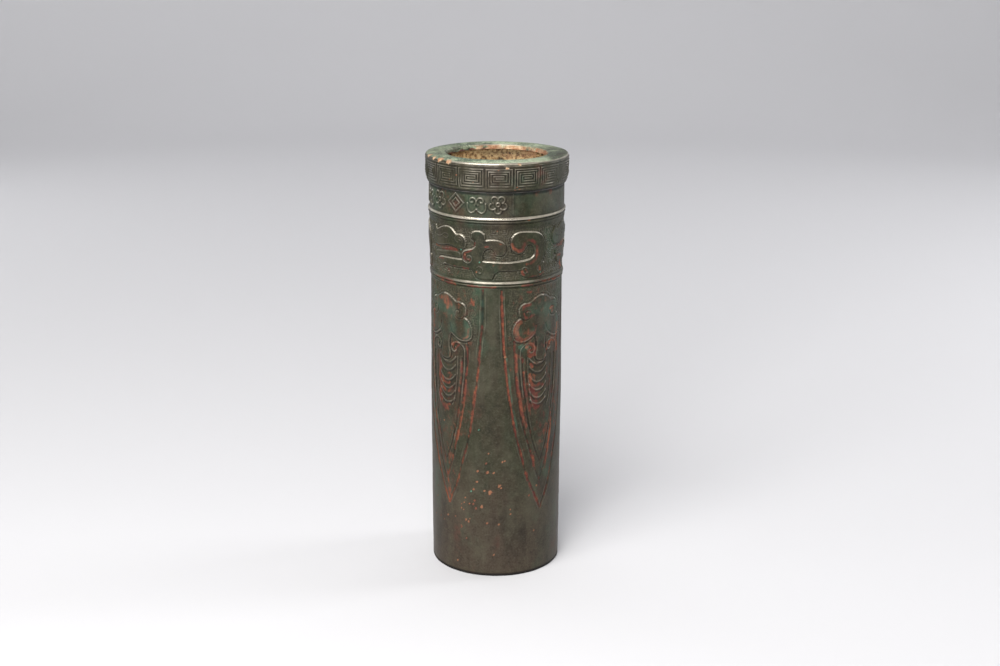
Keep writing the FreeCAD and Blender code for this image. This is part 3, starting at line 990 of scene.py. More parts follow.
@dataclass
class HangingBlades:
    """Four pointed blades that hang from the lower fillet, each with a cloud head and nested crescents."""

    centres: tuple[float, ...] = (-48.5, 41.5, 131.5, -138.5)
    low: float = 30.0
    high: float = 142.0
    step: float = 0.27
    left_edge: Points = (
        (-37.2, 141.4), (-36.1, 125), (-34.4, 108), (-32.3, 100), (-30.1, 90), (-27.0, 80), (-24.2, 72),
    )
    right_edge: Points = (
        (37, 141.4), (36.6, 125), (35, 118), (33.5, 110), (31.5, 97), (29.5, 90), (27.8, 84), (26.8, 78),
        (25.2, 72), (22.6, 66), (19.5, 60), (15.9, 52.5), (13.0, 47),
    )
    left_tip: Points = (
        (-20.9, 65.5), (-17, 60.5), (-14, 56.2), (-8.8, 49.4), (-2.6, 41.5), (0.6, 38), (3.5, 35.0), (6, 38),
        (8.9, 41.3),
    )
    right_tip: Points = (
        (-21.3, 66), (-18.2, 60), (-16.6, 56), (-13.4, 50), (-8, 44), (-5, 40), (-2, 36.4), (1.2, 32.4),
        (3.8, 35.4), (8.5, 40.3),
    )
    left_inner: Points = (
        (-26, 117), (-25.4, 110), (-24.4, 100), (-23.6, 95), (-21.6, 88), (-19.3, 80), (-16.8, 75),
        (-14.5, 70), (-12, 66), (-9.5, 61), (-6.5, 55.5), (-3, 50.5), (0, 47.5),
    )
    right_inner: Points = (
        (24, 117), (23, 108), (22.4, 102), (20.5, 95), (19.4, 88), (16.6, 79), (14, 73), (12, 68),
        (10, 62.5), (7.5, 57.5), (5, 53.5), (2.5, 49.8), (0, 47.5),
    )
    left_third: Points = (
        (-18.4, 108), (-18, 101), (-16.8, 94), (-15.5, 88), (-14.4, 84), (-12.8, 78.5), (-10, 71.5),
        (-6.5, 65), (-3, 60), (0, 57),
    )
    cloud: Points = (
        (0, 137.9), (-3, 137.7), (-6.5, 137.0), (-9.5, 136.0), (-12, 135.1), (-14.5, 135), (-17.5, 134.7),
        (-20, 133.9), (-21.7, 132.6), (-22.3, 130.8), (-21.8, 129.2), (-20.6, 128.1), (-22.5, 127.3),
        (-24.6, 126.1), (-26.4, 124.4), (-27.5, 122.2), (-27.6, 119.9), (-26.4, 117.9), (-24, 116.8),
        (-20.5, 116.4), (-16.5, 116.5), (-13.0, 117.2), (-9.6, 118.3), (-7.0, 119.0), (-5.6, 117.8),
        (-4.8, 115.6), (-4.8, 112.6), (-6.0, 109.6), (-5.0, 107.6), (-2.4, 106.8),
    )
    shoulder: Points = (
        (-17.8, 90), (-19.6, 98), (-20.6, 105), (-20.6, 111.4), (-19.2, 113.7), (-15.7, 115.1),
        (-11.7, 115.4), (-8.4, 114.6), (-6.9, 113.0), (-7.6, 111.4), (-10.3, 110.8), (-12.2, 111.8),
        (-11.2, 113.0),
    )
    flank: Points = ((-13.6, 108.6), (-13.5, 102), (-12.6, 97), (-11.6, 92.5), (-10.4, 88), (-8, 84.6))
    cloud_cuts: tuple[Cut, ...] = (
        (((-21.0, 131.8), (-19.8, 133.2), (-16.4, 133.8), (-13, 133.9)), 0.16, 0.42, 0.5),
        (((-20.4, 128.6), (-18.2, 127.2), (-15.4, 126.9), (-12.6, 127.4), (-10.9, 128.9), (-11.3, 130.5),
          (-13.6, 131.2), (-15.8, 130.6), (-15.6, 129.4)), 0.26, 0.38, 0.4),
        (((-23.2, 126), (-25.4, 124.2), (-26.4, 121.8), (-26.2, 119.4), (-24.6, 117.9)), 0.16, 0.5, 0.5),
        (((-25.8, 118.8), (-23.2, 117.7), (-19.8, 117.4), (-15.8, 117.7), (-12, 118.7), (-8.4, 120.2),
          (-6.4, 122), (-5.4, 124)), 0.2, 0.36, 0.4),
        (((-11.8, 112.2), (-10.2, 112.6)), 0.22, 0.5, 0.8),
        (((-14.6, 114.4), (-11.4, 114.5), (-9.2, 113.8), (-8.4, 112.6), (-9.4, 111.9), (-11.0, 111.8)),
         0.16, 0.36, 0.8),
        (((-17.9, 110), (-17.9, 104), (-17.4, 98)), 0.12, 0.4, 0.35),
    )
    stains: tuple[Stain, ...] = (
        (((-57.0, 135.0), (-50, 135.8), (-44.4, 135.0), (-42.0, 132.9)), 1.3, 0.8),
        (((-65.8, 132.9), (-67.8, 129.3), (-69.0, 122.4), (-70.3, 116.4)), 0.8, 0.8),
        (((-70.6, 116.6), (-71.2, 108.5), (-70, 99.2), (-68.5, 90), (-66.9, 80.7), (-63.2, 71.7)), 0.5, 1.1),
        (((-23.6, 122.6), (-24.6, 119.2), (-28.4, 117.5)), 0.7, 0.95),
        (((-41, 114), (-36.5, 115.4), (-33.4, 114.7), (-37.6, 111.9)), 0.6, 0.9),
        (((-26.5, 114.8), (-25, 110.2), (-25, 105.4), (-26, 100.5)), 0.55, 0.9),
        (((-31, 105.9), (-31.8, 98.1), (-33.5, 92.1)), 0.7, 0.75),
        (((-26.5, 97.6), (-27.9, 90.5), (-30.4, 80.8), (-33.4, 73.4), (-35.5, 67.9)), 0.6, 0.95),
        (((-57.4, 104.7), (-56.4, 101.9), (-57.8, 97.9), (-55.9, 93.2), (-56.7, 89.2), (-54.6, 85.6)),
         1.1, 1.0),
        (((-52.7, 96.6), (-45.9, 96.6), (-41.1, 99.1)), 0.7, 0.8),
        (((-52.9, 91.7), (-46.1, 90.7), (-41.2, 93.2)), 0.7, 0.8),
        (((-56.3, 84.8), (-51.7, 83), (-46.3, 81.8)), 1.2, 0.85), (((-43.4, 60), (-44.4, 55)), 1.4, 0.6),
        (((-44.8, 44), (-45, 39.5)), 1.3, 0.65),
        (((-74.2, 71.6), (-69.4, 65.5), (-62.5, 56.2), (-57.3, 49.4), (-51.1, 41.5), (-45.4, 35.6)),
         0.45, 0.95),
        (((-61.6, 74), (-58.9, 69.1), (-51.8, 61.2), (-49.2, 53.6), (-46.1, 44.5)), 0.4, 0.8),
        (((-31.8, 54.5), (-35.4, 47.2), (-39.8, 41.3), (-44.4, 36)), 0.45, 0.8),
        (((22.9, 132), (24.8, 133.8), (30.5, 134.1)), 0.75, 0.95),
        (((23.9, 130.1), (24.8, 128.6), (27.6, 127.5)), 0.6, 0.9),
        (((26.2, 130.9), (29.8, 130.8), (31.2, 129), (29, 127.9)), 0.5, 0.75),
        (((21.5, 117.4), (18.4, 118.9), (17.3, 120.6), (17.1, 122.1), (17.9, 124.2), (20.2, 126.3)),
         1.35, 1.1),
        (((24.8, 117.8), (29.6, 118.4), (33.6, 120.4)), 1.0, 0.95),
        (((52.6, 130.3), (57.9, 130.6), (55.6, 128.5)), 0.7, 0.8),
        (((64.9, 121.6), (64.1, 116.4), (65.1, 108.5)), 0.9, 0.95),
        (((26.3, 113.6), (28.8, 115.1), (32.2, 115.0), (35.0, 113.1), (34.4, 110.9)), 0.65, 1.3),
        (((47.3, 113.8), (52.8, 114.1), (48.6, 110.7)), 0.6, 0.9),
        (((17.1, 110.6), (17.3, 104), (18.5, 95.3), (20.4, 90.3), (23.2, 81.4), (27.1, 75.2)), 0.8, 0.95),
        (((24, 101.6), (24.9, 94.8), (27.9, 88.8), (30.9, 80.7)), 0.8, 0.85),
        (((30.6, 109.3), (33.6, 109.7)), 1.2, 1.0), (((30.6, 105.4), (32.7, 103.8)), 0.8, 0.95),
        (((29.7, 100.2), (31.7, 95.2), (33.8, 91.2), (37.5, 88.8)), 1.1, 1.0),
        (((39.1, 95.5), (45, 93.8)), 0.9, 0.85), (((32.9, 86.4), (37.1, 83.5)), 1.2, 1.0),
        (((33.8, 59.7), (35.1, 55)), 0.8, 1.0),
        (((27.4, 51.4), (31.6, 44.9), (38.1, 38), (41.2, 34)), 0.9, 1.0),
        (((56.2, 79), (56.1, 74.6), (54.7, 68.5), (51.2, 59.5), (48.5, 51.9)), 0.5, 1.0),
        (((66.6, 72.9), (61.6, 63.1), (55.7, 50.7)), 0.4, 0.8),
        (((65.5, 93.8), (65.5, 79.9), (60.7, 69.7)), 0.9, 0.6), (((-21.4, 136.8), (-20, 134)), 0.8, 0.8),
        (((27.6, 140.1), (30.5, 139.8)), 0.8, 0.8),
        (((4.2, 141.0), (4.6, 132.9), (5.5, 123.8), (6.4, 114.7), (7.1, 110.6)), 0.55, 1.15),
        (((7.6, 108.5), (8.5, 103.2), (10.1, 94.3), (11.9, 88.6), (13.8, 82.4), (17.4, 71.4), (19.2, 68),
         (21.0, 64.6), (24.4, 57.5)), 0.42, 1.2),
        (((-46.6, 136.2), (-44.8, 134.1), (-44.2, 131.9)), 1.5, 0.85),
        (((-51.5, 136.0), (-49.4, 134.1), (-46.8, 131.4)), 1.3, 0.9),
        (((-12.4, 124.4), (-13.2, 119.1), (-14.9, 105.3), (-18.5, 89.7), (-20.3, 81.6), (-23.0, 72.9)),
         0.6, 0.9),
    )
    # Lines that get less wear and painted highlight, and the share taken off.
    faint: tuple[tuple[Points, float], ...] = (
        (((-66.4, 132.7), (-58.7, 135.1), (-52.0, 137.0)), 0.7),
        (((-33.6, 133.6), (-30.0, 132.2), (-29.1, 130.0)), 0.35),
        (((46.0, 136.9), (51.6, 135.6), (60.5, 132.1)), 0.55),
    )
    cleaned: Points = ((-12.4, 136.5), (-12.0, 132.7), (-12.6, 127.0))
    pale_line: Points = (
        (9.0, 109.1), (9.9, 104.0), (11.2, 99.4), (12.3, 93.8), (13.8, 87.6), (16.5, 80.4), (19.2, 73.5),
    )
    crescent_levels: tuple[float, ...] = (105.2, 101.2, 96.4, 92.4, 88.6, 85.6)
    crescent_shifts: tuple[float, ...] = (2.2, -2.9, 0.0, -1.5)
    crescent_reds: tuple[float, ...] = (0.55, 0.6, 0.95, 0.85, 0.75, 0.9)

    def mirrored(self, points: Points) -> Points:
        """The same line on the other side of the blade."""
        return tuple((-degrees, level) for degrees, level in points)

    def pattern(self, relief: Relief, shift: float, tip: Points) -> None:
        """Draws one blade on a relief whose degrees count from the blade's centre.

        Args:
            relief: The patch to draw on.
            shift: How far the crescents stand beside the centre, in degrees.
            tip: The outer line round the blade's lower end.
        """
        places = relief.flat_places()
        broken = np.clip(0.6 + 0.9 * noise(places, 5.0, 47), 0.0, 1.2)
        rim_line = tuple(self.left_edge) + tuple(tip) + tuple(reversed(self.right_edge))
        inner_line = tuple(self.left_inner) + tuple(reversed(self.right_inner))[1:]
        third = tuple(self.left_third) + tuple(reversed(self.mirrored(self.left_third)))[1:]
        for path, depth, valley, rim, red in (
            (rim_line, 0.34, 0.72, 1.25, 0.72),
            (inner_line, 0.3, 0.66, 1.15, 0.66),
            (third, 0.24, 0.55, 0.95, 0.5),
        ):
            away = self.wandering(relief, line_of(path), 3.0)
            relief.height -= depth * np.exp(-1.3 * (away / valley) ** 2)
            relief.height += 0.12 * broken * np.exp(-(((away - rim) / 0.34) ** 2))
            relief.red = np.maximum(relief.red, red * (1.0 - smooth_step(away, valley * 0.3, valley * 1.8)))
        outline = line_of(rim_line + ((0, 143),), closed=True)
        middle = line_of(inner_line + ((22, 143), (-23, 143)), closed=True)
        streaky = 0.12 * noise(places * (1.0, 0.3, 1.0), 2.2, 48)
        stained = (0.25 + 0.13 * relief.inside(middle) + streaky) * relief.inside(outline)
        relief.red = np.maximum(relief.red, stained)

        head = tuple(self.cloud) + ((0, 106.6),) + tuple(reversed(self.mirrored(self.cloud)))[:-1]
        corner = smooth_step(relief.z, 112.0, 119.0) * (1.0 - smooth_step(np.abs(relief.deg), 30.0, 33.5))
        relief.thunder_ground(corner * 0.8, pitch=3.9, rise=0.2)
        relief.raise_shapes([head], 0.42, 0.85)
        relief.teal = 0.07 * np.clip(0.4 + 1.4 * noise(places, 4.5, 49), 0.0, 1.0)
        relief.teal *= relief.edge_distance([head]) < -0.8
        for points in (self.shoulder, self.mirrored(self.shoulder)):
            relief.ridge(line_of(points), 0.34, 0.42)
        for points in (self.flank, self.mirrored(self.flank)):
            relief.ridge(line_of(points), 0.3, 0.4)
        for side in (1.0, -1.0):
            for points, depth, width, red in self.cloud_cuts:
                relief.groove(line_of([(side * d, z) for d, z in points]), depth, width, red)
        self.crescents(relief, shift)

    def wandering(self, relief: Relief, line: np.ndarray, reach: float) -> np.ndarray:
        """Distance to a line that was cut by hand and so wavers a little.

        Args:
            relief: The patch.
            line: Points of the line in millimetres.
            reach: The furthest distance that matters.

        Returns:
            The distances in millimetres.
        """
        places = relief.flat_places()
        waver = 0.16 * noise(places, 4.5, 44) + 0.05 * noise(places, 1.2, 45)
        return np.abs(relief.distance(line, reach) + waver)

    def crescents(self, relief: Relief, shift: float) -> None:
        """Draws the column of nested crescents under the cloud head.

        Args:
            relief: The patch to draw on.
            shift: How far they stand beside the blade's centre, in degrees.
        """
        steps = np.linspace(-1.0, 1.0, 9)
        for number, level in enumerate(self.crescent_levels):
            half = 9.3 - 0.2 * number
            rise = 3.0 if number < 5 else 2.3
            arc = [(shift + half * s, level + rise * abs(s) ** 2.2) for s in steps]
            relief.ridge(line_of(arc), 0.38, 0.6)
            under = [(shift + half * 0.9 * s, level - 1.35 + rise * abs(s) ** 2.2) for s in steps]
            relief.groove(line_of(under), 0.16, 0.75)
            fill = [(shift + half * 0.8 * s - 1.5, level - 2.0 + rise * abs(s) ** 2.2) for s in steps[:7]]
            relief.paint(line_of(fill), 0.95, self.crescent_reds[number])

    def weather(self, relief: Relief, turned: float) -> None:
        """Leaves the stains, the lines with less wear and painted highlight, and the green salts on one
        panel.

        Args:
            relief: The panel.
            turned: How far round the vase the stains are moved, in degrees.
        """
        for points, width, red in self.stains:
            relief.paint(turned_line(points, turned), width * 1.25, red)
        for points, share in self.faint:
            relief.shelter(turned_line(points, turned), share)
        places = places_of(WALL.radius(relief.z), relief.deg, relief.z)
        salted = np.clip(0.55 + 0.9 * noise(places, 1.6, 42), 0.0, 1.0)
        bare = 1.0 - smooth_step(relief.distance(turned_line(self.cleaned, turned), 1.6), 0.6, 1.4)
        relief.red *= 1.0 - 0.75 * bare
        relief.teal = np.maximum(relief.teal, 0.05 * bare * salted)
        pale = 1.0 - smooth_step(relief.distance(turned_line(self.pale_line, turned), 1.2), 0.15, 0.65)
        relief.teal = np.maximum(relief.teal, 0.085 * salted * pale)

    def build(self, finish: bpy.types.Material) -> None:
        """Makes the four panels.

        Args:
            finish: The wall's material.
        """
        half = FULL_TURN / len(self.centres) / 2.0
        columns = rows_between(-half, half, self.step / ARC)
        levels = rows_between(self.low, self.high, self.step)
        for number, (centre, shift) in enumerate(zip(self.centres, self.crescent_shifts), start=1):
            template = Relief(columns, levels)
            self.pattern(template, shift, self.left_tip if number == 1 else self.right_tip)
            relief = Relief(columns + centre, levels)
            places = places_of(WALL.radius(relief.z), relief.deg, relief.z)
            wear = 0.86 + 0.3 * noise(places, 13.0, 41)
            relief.height = template.height * wear
            relief.ground = template.ground.copy()
            relief.teal = template.teal.copy()
            uneven = 0.9 + 0.28 * noise(places, 13.0, 43) + 0.25 * noise(places, 4.0, 46)
            relief.red = np.clip(template.red * uneven, 0.0, 1.0)
            turned = 0.0 if number < 3 else math.copysign(180.0, centre)
            self.weather(relief, turned)
            scatter_rust(relief)
            wall_piece(f"blade_panel_{number}", relief, finish, wear_highlight_weights=(0.36, 0.38))


@dataclass
class BeadedFillet:
    """A turned fillet of one large and one small bead between two fine cuts."""

    name: str
    low: float
    high: float
    band: float
    red_runs: tuple[tuple[float, float, float], ...]
    # Strength of the beads' painted highlight at the front and at the sides.
    front_highlight: float = 0.5
    side_highlight: float = 0.45
    bead_radius: float = 0.8
    bead_stand: float = 0.55
    small_radius: float = 0.55
    small_stand: float = 0.35
    bead_share: float = 0.71
    small_share: float = 0.345
    cuts: tuple[tuple[float, float], ...] = ((0.505, 0.2), (0.1, 0.34), (0.96, 0.08))

    def beads(self, levels: np.ndarray) -> np.ndarray:
        """What the beads and cuts add to the wall's radius at each level.

        Args:
            levels: The levels in millimetres.

        Returns:
            The added radius in millimetres.
        """
        wall = WALL.radius(levels)
        result = wall.copy()
        tall = self.high - self.low
        for share, radius, stand in (
            (self.bead_share, self.bead_radius, self.bead_stand),
            (self.small_share, self.small_radius, self.small_stand),
        ):
            away = levels - (self.low + tall * share)
            arch = self.band + stand - radius + np.sqrt(np.maximum(radius**2 - away**2, 0.0))
            result = np.where(np.abs(away) < radius, np.maximum(result, arch), result)
        for share, depth in self.cuts:
            away = levels - (self.low + tall * share)
            result -= depth * np.exp(-((away / 0.3) ** 2))
        return result - wall

    def build(self, finish: bpy.types.Material) -> None:
        """Makes the piece.

        Args:
            finish: The wall's material.
        """
        relief = Relief(around(0.4), rows_between(self.low, self.high, 0.11), wrap=True)
        places = places_of(WALL.radius(relief.z), relief.deg, relief.z)
        relief.height = 0.07 * noise(places, 3.2, 51) + 0.03 * noise(places, 1.1, 52)
        rise = (relief.z - self.low) / (self.high - self.low)
        # Little wear and painted highlight from the relief; a painted highlight on the upper part of the
        # large bead, strongest at the front, and a faint one on the small bead.
        relief.wear_highlight_share = 0.16 * np.ones_like(rise)
        front = np.exp(-(((relief.deg + 5.0) / 36.0) ** 4))
        lit = self.side_highlight + self.front_highlight * front + 0.12 * noise(places, 13.0, 54)
        relief.painted_highlight = plateau(rise, (0.55, 0.68), (0.86, 0.92)) * lit
        relief.painted_highlight += np.exp(-(((rise - self.small_share - 0.03) / 0.06) ** 2)) * (0.1 + 0.2 * front)
        for start, end, level in self.red_runs:
            relief.paint(straight_line([(start, level), (end, level)]), 0.7, 1.15 + 0.25 * math.sin(start))
        relief.red *= np.clip(0.75 + 0.8 * noise(places, 2.4, 59) + 0.4 * noise(places, 0.9, 60), 0.0, 1.1)
        relief.height *= plateau(relief.z, (self.low, self.low + 0.3), (self.high - 0.3, self.high))
        wall_piece(self.name, relief, finish, beads=self.beads(relief.levels))


@dataclass
class DragonFrieze:
    """Three archaic one-footed dragons in flat relief on a ground of squared spirals."""

    low: float = 146.0
    high: float = 171.7
    first: float = -70.0
    count: int = 3
    step: float = 0.155
    body: Points = (
        (-58.5, 153.2), (-56.5, 154.3), (-52, 154.9), (-45, 155.1), (-38, 155.1), (-30, 155.2), (-20, 155.2),
        (-12, 155.1), (-6, 155), (0, 154.8), (6, 154.6), (12, 154.6), (20, 154.9), (26, 155.3), (30, 155.9),
        (32.2, 156.9), (33.2, 158.5), (32.6, 160.4), (30.6, 161.9), (28, 162.5), (25.6, 162), (24.2, 160.6),
        (22.5, 159.2), (20, 158.6), (17, 158.6), (14.5, 159.3), (12.6, 160.6), (11.5, 162.4), (11.6, 164.3),
        (12.8, 166.2), (15, 167.6), (18, 168.3), (22, 168.5), (28, 168.3), (34, 167.9), (38, 167.1),
        (41, 165.8), (43.2, 163.8), (44.2, 161.5), (44, 158), (42.5, 155), (39.5, 153), (35, 151.9),
        (29, 151.5), (20, 150.8), (10, 150.7), (3, 150.6), (1, 150.2), (-1.6, 149.2), (-2.8, 147.8),
        (-3.8, 146.8), (-8, 146.7), (-13, 146.8), (-16.3, 147.3), (-18.2, 148.6), (-19.4, 150), (-21, 150.9),
        (-24, 151.2), (-30, 151.4), (-40, 151.3), (-46, 151.6), (-52, 151.2), (-57, 151.7),
    )
    chest: Points = (
        (-11.8, 155.0), (-11.8, 156), (-11.5, 158), (-10.5, 159.3), (-9, 160.5), (-6, 161.1), (-4, 161),
        (-2.5, 160.3), (-1.5, 159.2), (-0.6, 158.2), (1.8, 157.8), (4.4, 157.9), (6, 158.5), (7.5, 159.5),
        (8, 161.5), (7.3, 162.8), (5.5, 163.8), (3, 164.5), (0, 165), (-3, 165.2), (-6, 165.1), (-9, 165),
        (-9.3, 166), (-10, 167.5), (-11.5, 168.2), (-14, 169), (-18, 168.9), (-20.5, 168.3), (-21.5, 167),
        (-21.2, 165.7), (-19.4, 164.9), (-17.5, 164.1), (-17.1, 162.7), (-18.3, 161.5), (-21, 160.6),
        (-25, 160.1), (-28.4, 159.2), (-30, 157.6), (-29.8, 155.9), (-28.9, 154.5), (-26, 153.6), (-24, 153),
        (-12, 153),
    )
    hind_foot: Points = (
        (22, 151.6), (21, 150.4), (21.3, 149), (22.6, 147.9), (25, 147.3), (30, 147.0), (36, 146.9),
        (40, 147.2), (42.5, 148.4), (43.6, 150.5), (44, 153), (40, 153.5), (30, 152),
    )
    head: Points = (
        (-66, 166.6), (-63.4, 168.2), (-61.8, 168.9), (-60.4, 167.6), (-58.5, 167.3), (-56, 167.9),
        (-52, 168.9), (-48, 169.5), (-44, 169.6), (-41, 169.1), (-38, 167.9), (-36, 166.9), (-34.2, 166.7),
        (-32, 166.9), (-29.3, 166.4), (-27.3, 165.3), (-26.2, 163.7), (-26.1, 162), (-27.2, 160.7),
        (-30, 160.1), (-33, 159.9), (-36, 160.5), (-40, 161.1), (-45, 161.2), (-50, 160.6), (-56, 160.2),
        (-62, 160.4), (-65.4, 161.6), (-67, 164),
    )
    jaw: Points = (
        (-62, 156.4), (-60.5, 157.1), (-55, 157.5), (-50, 157.7), (-42, 158.4), (-36, 158.6), (-32.8, 158.2),
        (-31.4, 157.2), (-31.4, 156.4), (-34, 156.1), (-42, 156), (-50, 155.8), (-56, 155.5), (-60.5, 155.6),
    )
    mouth: Points = ((-62, 159.2), (-56, 159.1), (-50, 159.5), (-44, 159.8), (-39, 159.6), (-34.5, 158.9))
    scroll: Points = (
        (-17.6, 164.0), (-17.5, 162.6), (-18.8, 161.2), (-21, 160.3), (-25, 159.7), (-28, 158.9),
        (-29.4, 157.5), (-29.2, 156), (-28.3, 154.8), (-26, 153.9), (-24, 153.8), (-22, 154.5),
        (-20.9, 155.6), (-21.2, 156.7), (-22.8, 157.3), (-24.8, 157.1), (-25.3, 156.3), (-24.4, 155.6),
        (-23.2, 155.7),
    )
    scroll_red: Points = (
        (-18.2, 163.4), (-18.9, 161.9), (-20.6, 160.4), (-24.4, 159.0), (-27.3, 158.2), (-28.1, 156.9),
        (-27.3, 155.5), (-25.6, 154.7), (-23.4, 154.8), (-22.3, 155.8),
    )
    # Lines that get less wear and painted highlight, and the share taken off.
    faint: tuple[tuple[Points, float], ...] = (
        (((-62, 157.0), (-50, 157.8), (-42, 158.4), (-35, 158.7), (-32, 157.8)), 0.75),
        (((-60, 154.4), (-50, 155.1), (-42, 155.2)), 0.3), (((42, 163.5), (44, 160), (43, 156)), 0.5),
        (((-66, 166.6), (-62.4, 168.9), (-58.5, 167.5), (-54, 168.5), (-50, 169.3)), 0.45),
        (((-17, 150.7), (-14.3, 152.6), (-11.6, 150.7), (-14.3, 148.8), (-17, 150.7)), 0.5),
        (((22, 150.4), (24.4, 152.2), (27, 150.3), (24.4, 148.4), (22, 150.4)), 0.55),
        (((-69, 164), (-67, 166), (-66, 168.6), (-64.4, 167.4)), 0.8),
        (((38.5, 153.4), (41.5, 154.0)), 0.85), (((32, 168.1), (38, 167.1), (41.5, 165.4)), 0.3),
        (((3, 164.5), (6, 163.6), (8, 161.5)), 0.3),
    )
    rust: tuple[Stain, ...] = (
        (((13.0, 163.2), (13.6, 161.7), (15.7, 160.5), (19.4, 159.8), (22.7, 160.4), (22.9, 162.2),
         (24.4, 163.9), (28.3, 164.6), (32.0, 163.4), (34.4, 161.7), (35.3, 159.4), (35.2, 157.6),
         (34.1, 155.5), (31.1, 154.2), (26.1, 153.6)), 1.1, 0.72),
        (((-54.5, 158.4), (-44.3, 159.0), (-35.9, 159.4)), 0.8, 0.8),
        (((-56, 154.2), (-50.4, 154.1)), 0.8, 1.0),
        (((-51.6, 151.6), (-48.8, 150.3), (-46.9, 148.5), (-44.2, 147.7), (-40.5, 147.0)), 0.5, 0.95),
        (((-35.7, 147.7), (-34.2, 149.1)), 0.5, 0.9), (((-28.9, 151.4), (-24.8, 151.2)), 0.7, 0.95),
        (((-9.2, 161.9), (-7.4, 162.1)), 0.5, 0.95), (((2.8, 163.3), (4.0, 163.3)), 0.6, 1.0),
        (((21.9, 150.4), (22.2, 149.0), (23.3, 148.5)), 0.7, 1.0),
        (((24.5, 151.0), (25.8, 150.6), (26.4, 149.8)), 0.6, 1.0),
        (((38.4, 151.6), (39.0, 150.2)), 0.7, 0.95), (((-2.5, 153.3), (-2.2, 153.3)), 0.45, 0.9),
        (((0.3, 169.1), (0.6, 169.1)), 0.45, 0.8), (((10.5, 153.5), (13.5, 153.4)), 0.5, 0.7),
        (((-27, 157.2), (-25.6, 155.8), (-23.6, 155.4)), 0.9, 0.9),
        (((-58, 148.4), (-52, 147.4), (-46, 147)), 0.6, 0.7),
        (((28, 147), (36, 147.4), (44, 148.2)), 0.6, 0.7), (((-38, 151.6), (-33, 151.5)), 0.5, 0.6),
    )

    ridges: tuple[Points, ...] = (
        ((-61.8, 165.1), (-58, 164.4), (-54, 164.5), (-51, 165.2), (-49, 166), (-46.6, 166.4), (-44.4, 166),
         (-43.4, 165.2), (-44.6, 164.5), (-47, 164.2), (-49.4, 164.6), (-51, 165.2)),
        ((-34.2, 166.5), (-35.9, 165.6), (-36.4, 164.5), (-35.6, 163.5), (-33.8, 163.1)),
        ((-32.2, 165.3), (-30.6, 165.1), (-30.2, 164.3), (-31.2, 163.8), (-32.2, 164.3)),
        ((-45.5, 160.9), (-42, 160.9), (-38.4, 160.6), (-35.4, 159.8), (-33.2, 159)),
        ((-52, 150.8), (-50, 151.7), (-48, 152.2), (-46, 151.6), (-44, 150.8), (-41.8, 150)),
        ((40.2, 153.4), (37.8, 152.7), (36, 151.6), (35.9, 150.4), (37.2, 149.5), (38.6, 148.6),
         (39.9, 149.8), (40.5, 151.6)),
    )
    cuts: tuple[Cut, ...] = (
        (((-30.8, 161.6), (-29.4, 161.2), (-28.4, 161.8)), 0.22, 0.6, 0.12),
        (((-19.9, 165.5), (-18.6, 165.1)), 0.3, 0.5, 0.0),
        (((-50.4, 149.4), (-47.4, 150), (-45, 149), (-43.8, 148)), 0.14, 0.45, 0.8),
        (((21.3, 150.2), (21.8, 149.2), (23.6, 148.3)), 0.16, 0.4, 0.9),
        (((38.4, 151.4), (38.2, 150.2)), 0.2, 0.45, 0.6),
        (((-47.6, 165.3), (-46, 165.4)), 0.14, 0.4, 0.0),
        (((44.8, 160), (44.9, 154), (44.8, 148)), 0.1, 0.3, 0.0),
    )
    rust_dots: Points = ((-16.8, 149.9), (-27.0, 157.5))
    salt_dots: Points = ((-14.3, 154.6), (39.3, 148.6), (-31.3, 159.6))

    def ring(self, degrees: float, level: float, radius: float, start: float, end: float) -> np.ndarray:
        """Part of a small round curl.

        Args:
            degrees: Where its middle lies round the wall.
            level: Where its middle lies up the wall, in millimetres.
            radius: Its outer radius in millimetres.
            start: Where it starts, in degrees from the top.
            end: Where it ends.

        Returns:
            The curl's points in millimetres.
        """
        angle = np.radians(np.linspace(start, end, 22))
        shrink = np.linspace(1.0, 0.62, 22)
        reach = radius * shrink
        return np.stack([degrees * ARC + reach * np.sin(angle), level + reach * np.cos(angle)], -1)

    def pattern(self, relief: Relief) -> None:
        """Draws one dragon on a relief.

        Args:
            relief: The patch to draw on.
        """
        places = places_of(WALL.radius(relief.z), relief.deg, relief.z)
        inner = plateau(relief.z, (self.low + 0.4, self.low + 1.0), (self.high - 2.2, self.high - 1.2))
        mouth = smooth_step(relief.distance(line_of(self.mouth), 2.4), 1.2, 1.8)
        relief.thunder_ground(inner * mouth * (0.8 + 0.5 * noise(places, 7.0, 61)), rise=0.24)
        relief.height += (0.05 * noise(places, 0.6, 66) + 0.03 * noise(places, 1.1, 67) - 0.12) * inner
        relief.raise_shapes([self.body, self.chest, self.hind_foot, self.head, self.jaw], 0.52, 0.75)
        for points, share in self.faint:
            relief.shelter(line_of(points), share)

        relief.groove(line_of(self.scroll_red), 0.2, 0.42, 0.95)
        relief.ridge(line_of(self.scroll), 0.28, 0.32)
        for ring, hollow in (
            (self.ring(-14.3, 150.7, 1.95, -95, 260), (-14.6, 150.4)),
            (self.ring(24.4, 150.3, 1.85, -110, 240), (24.3, 150.4)),
        ):
            relief.ridge(ring, 0.3, 0.34)
            point = line_of([hollow, (hollow[0] + 0.8, hollow[1] - 0.2)])
            relief.groove(point, 0.16, 0.5, 0.75 if hollow[0] > 0 else 0.15)
        for points in self.ridges:
            relief.ridge(line_of(points), 0.2, 0.3)
        for points, depth, width, red in ((self.mouth, 0.18, 0.55, 0.75), *self.cuts):
            relief.groove(line_of(points), depth, width, red)
        for points, width, red in self.rust:
            relief.paint(line_of(points), width, red)

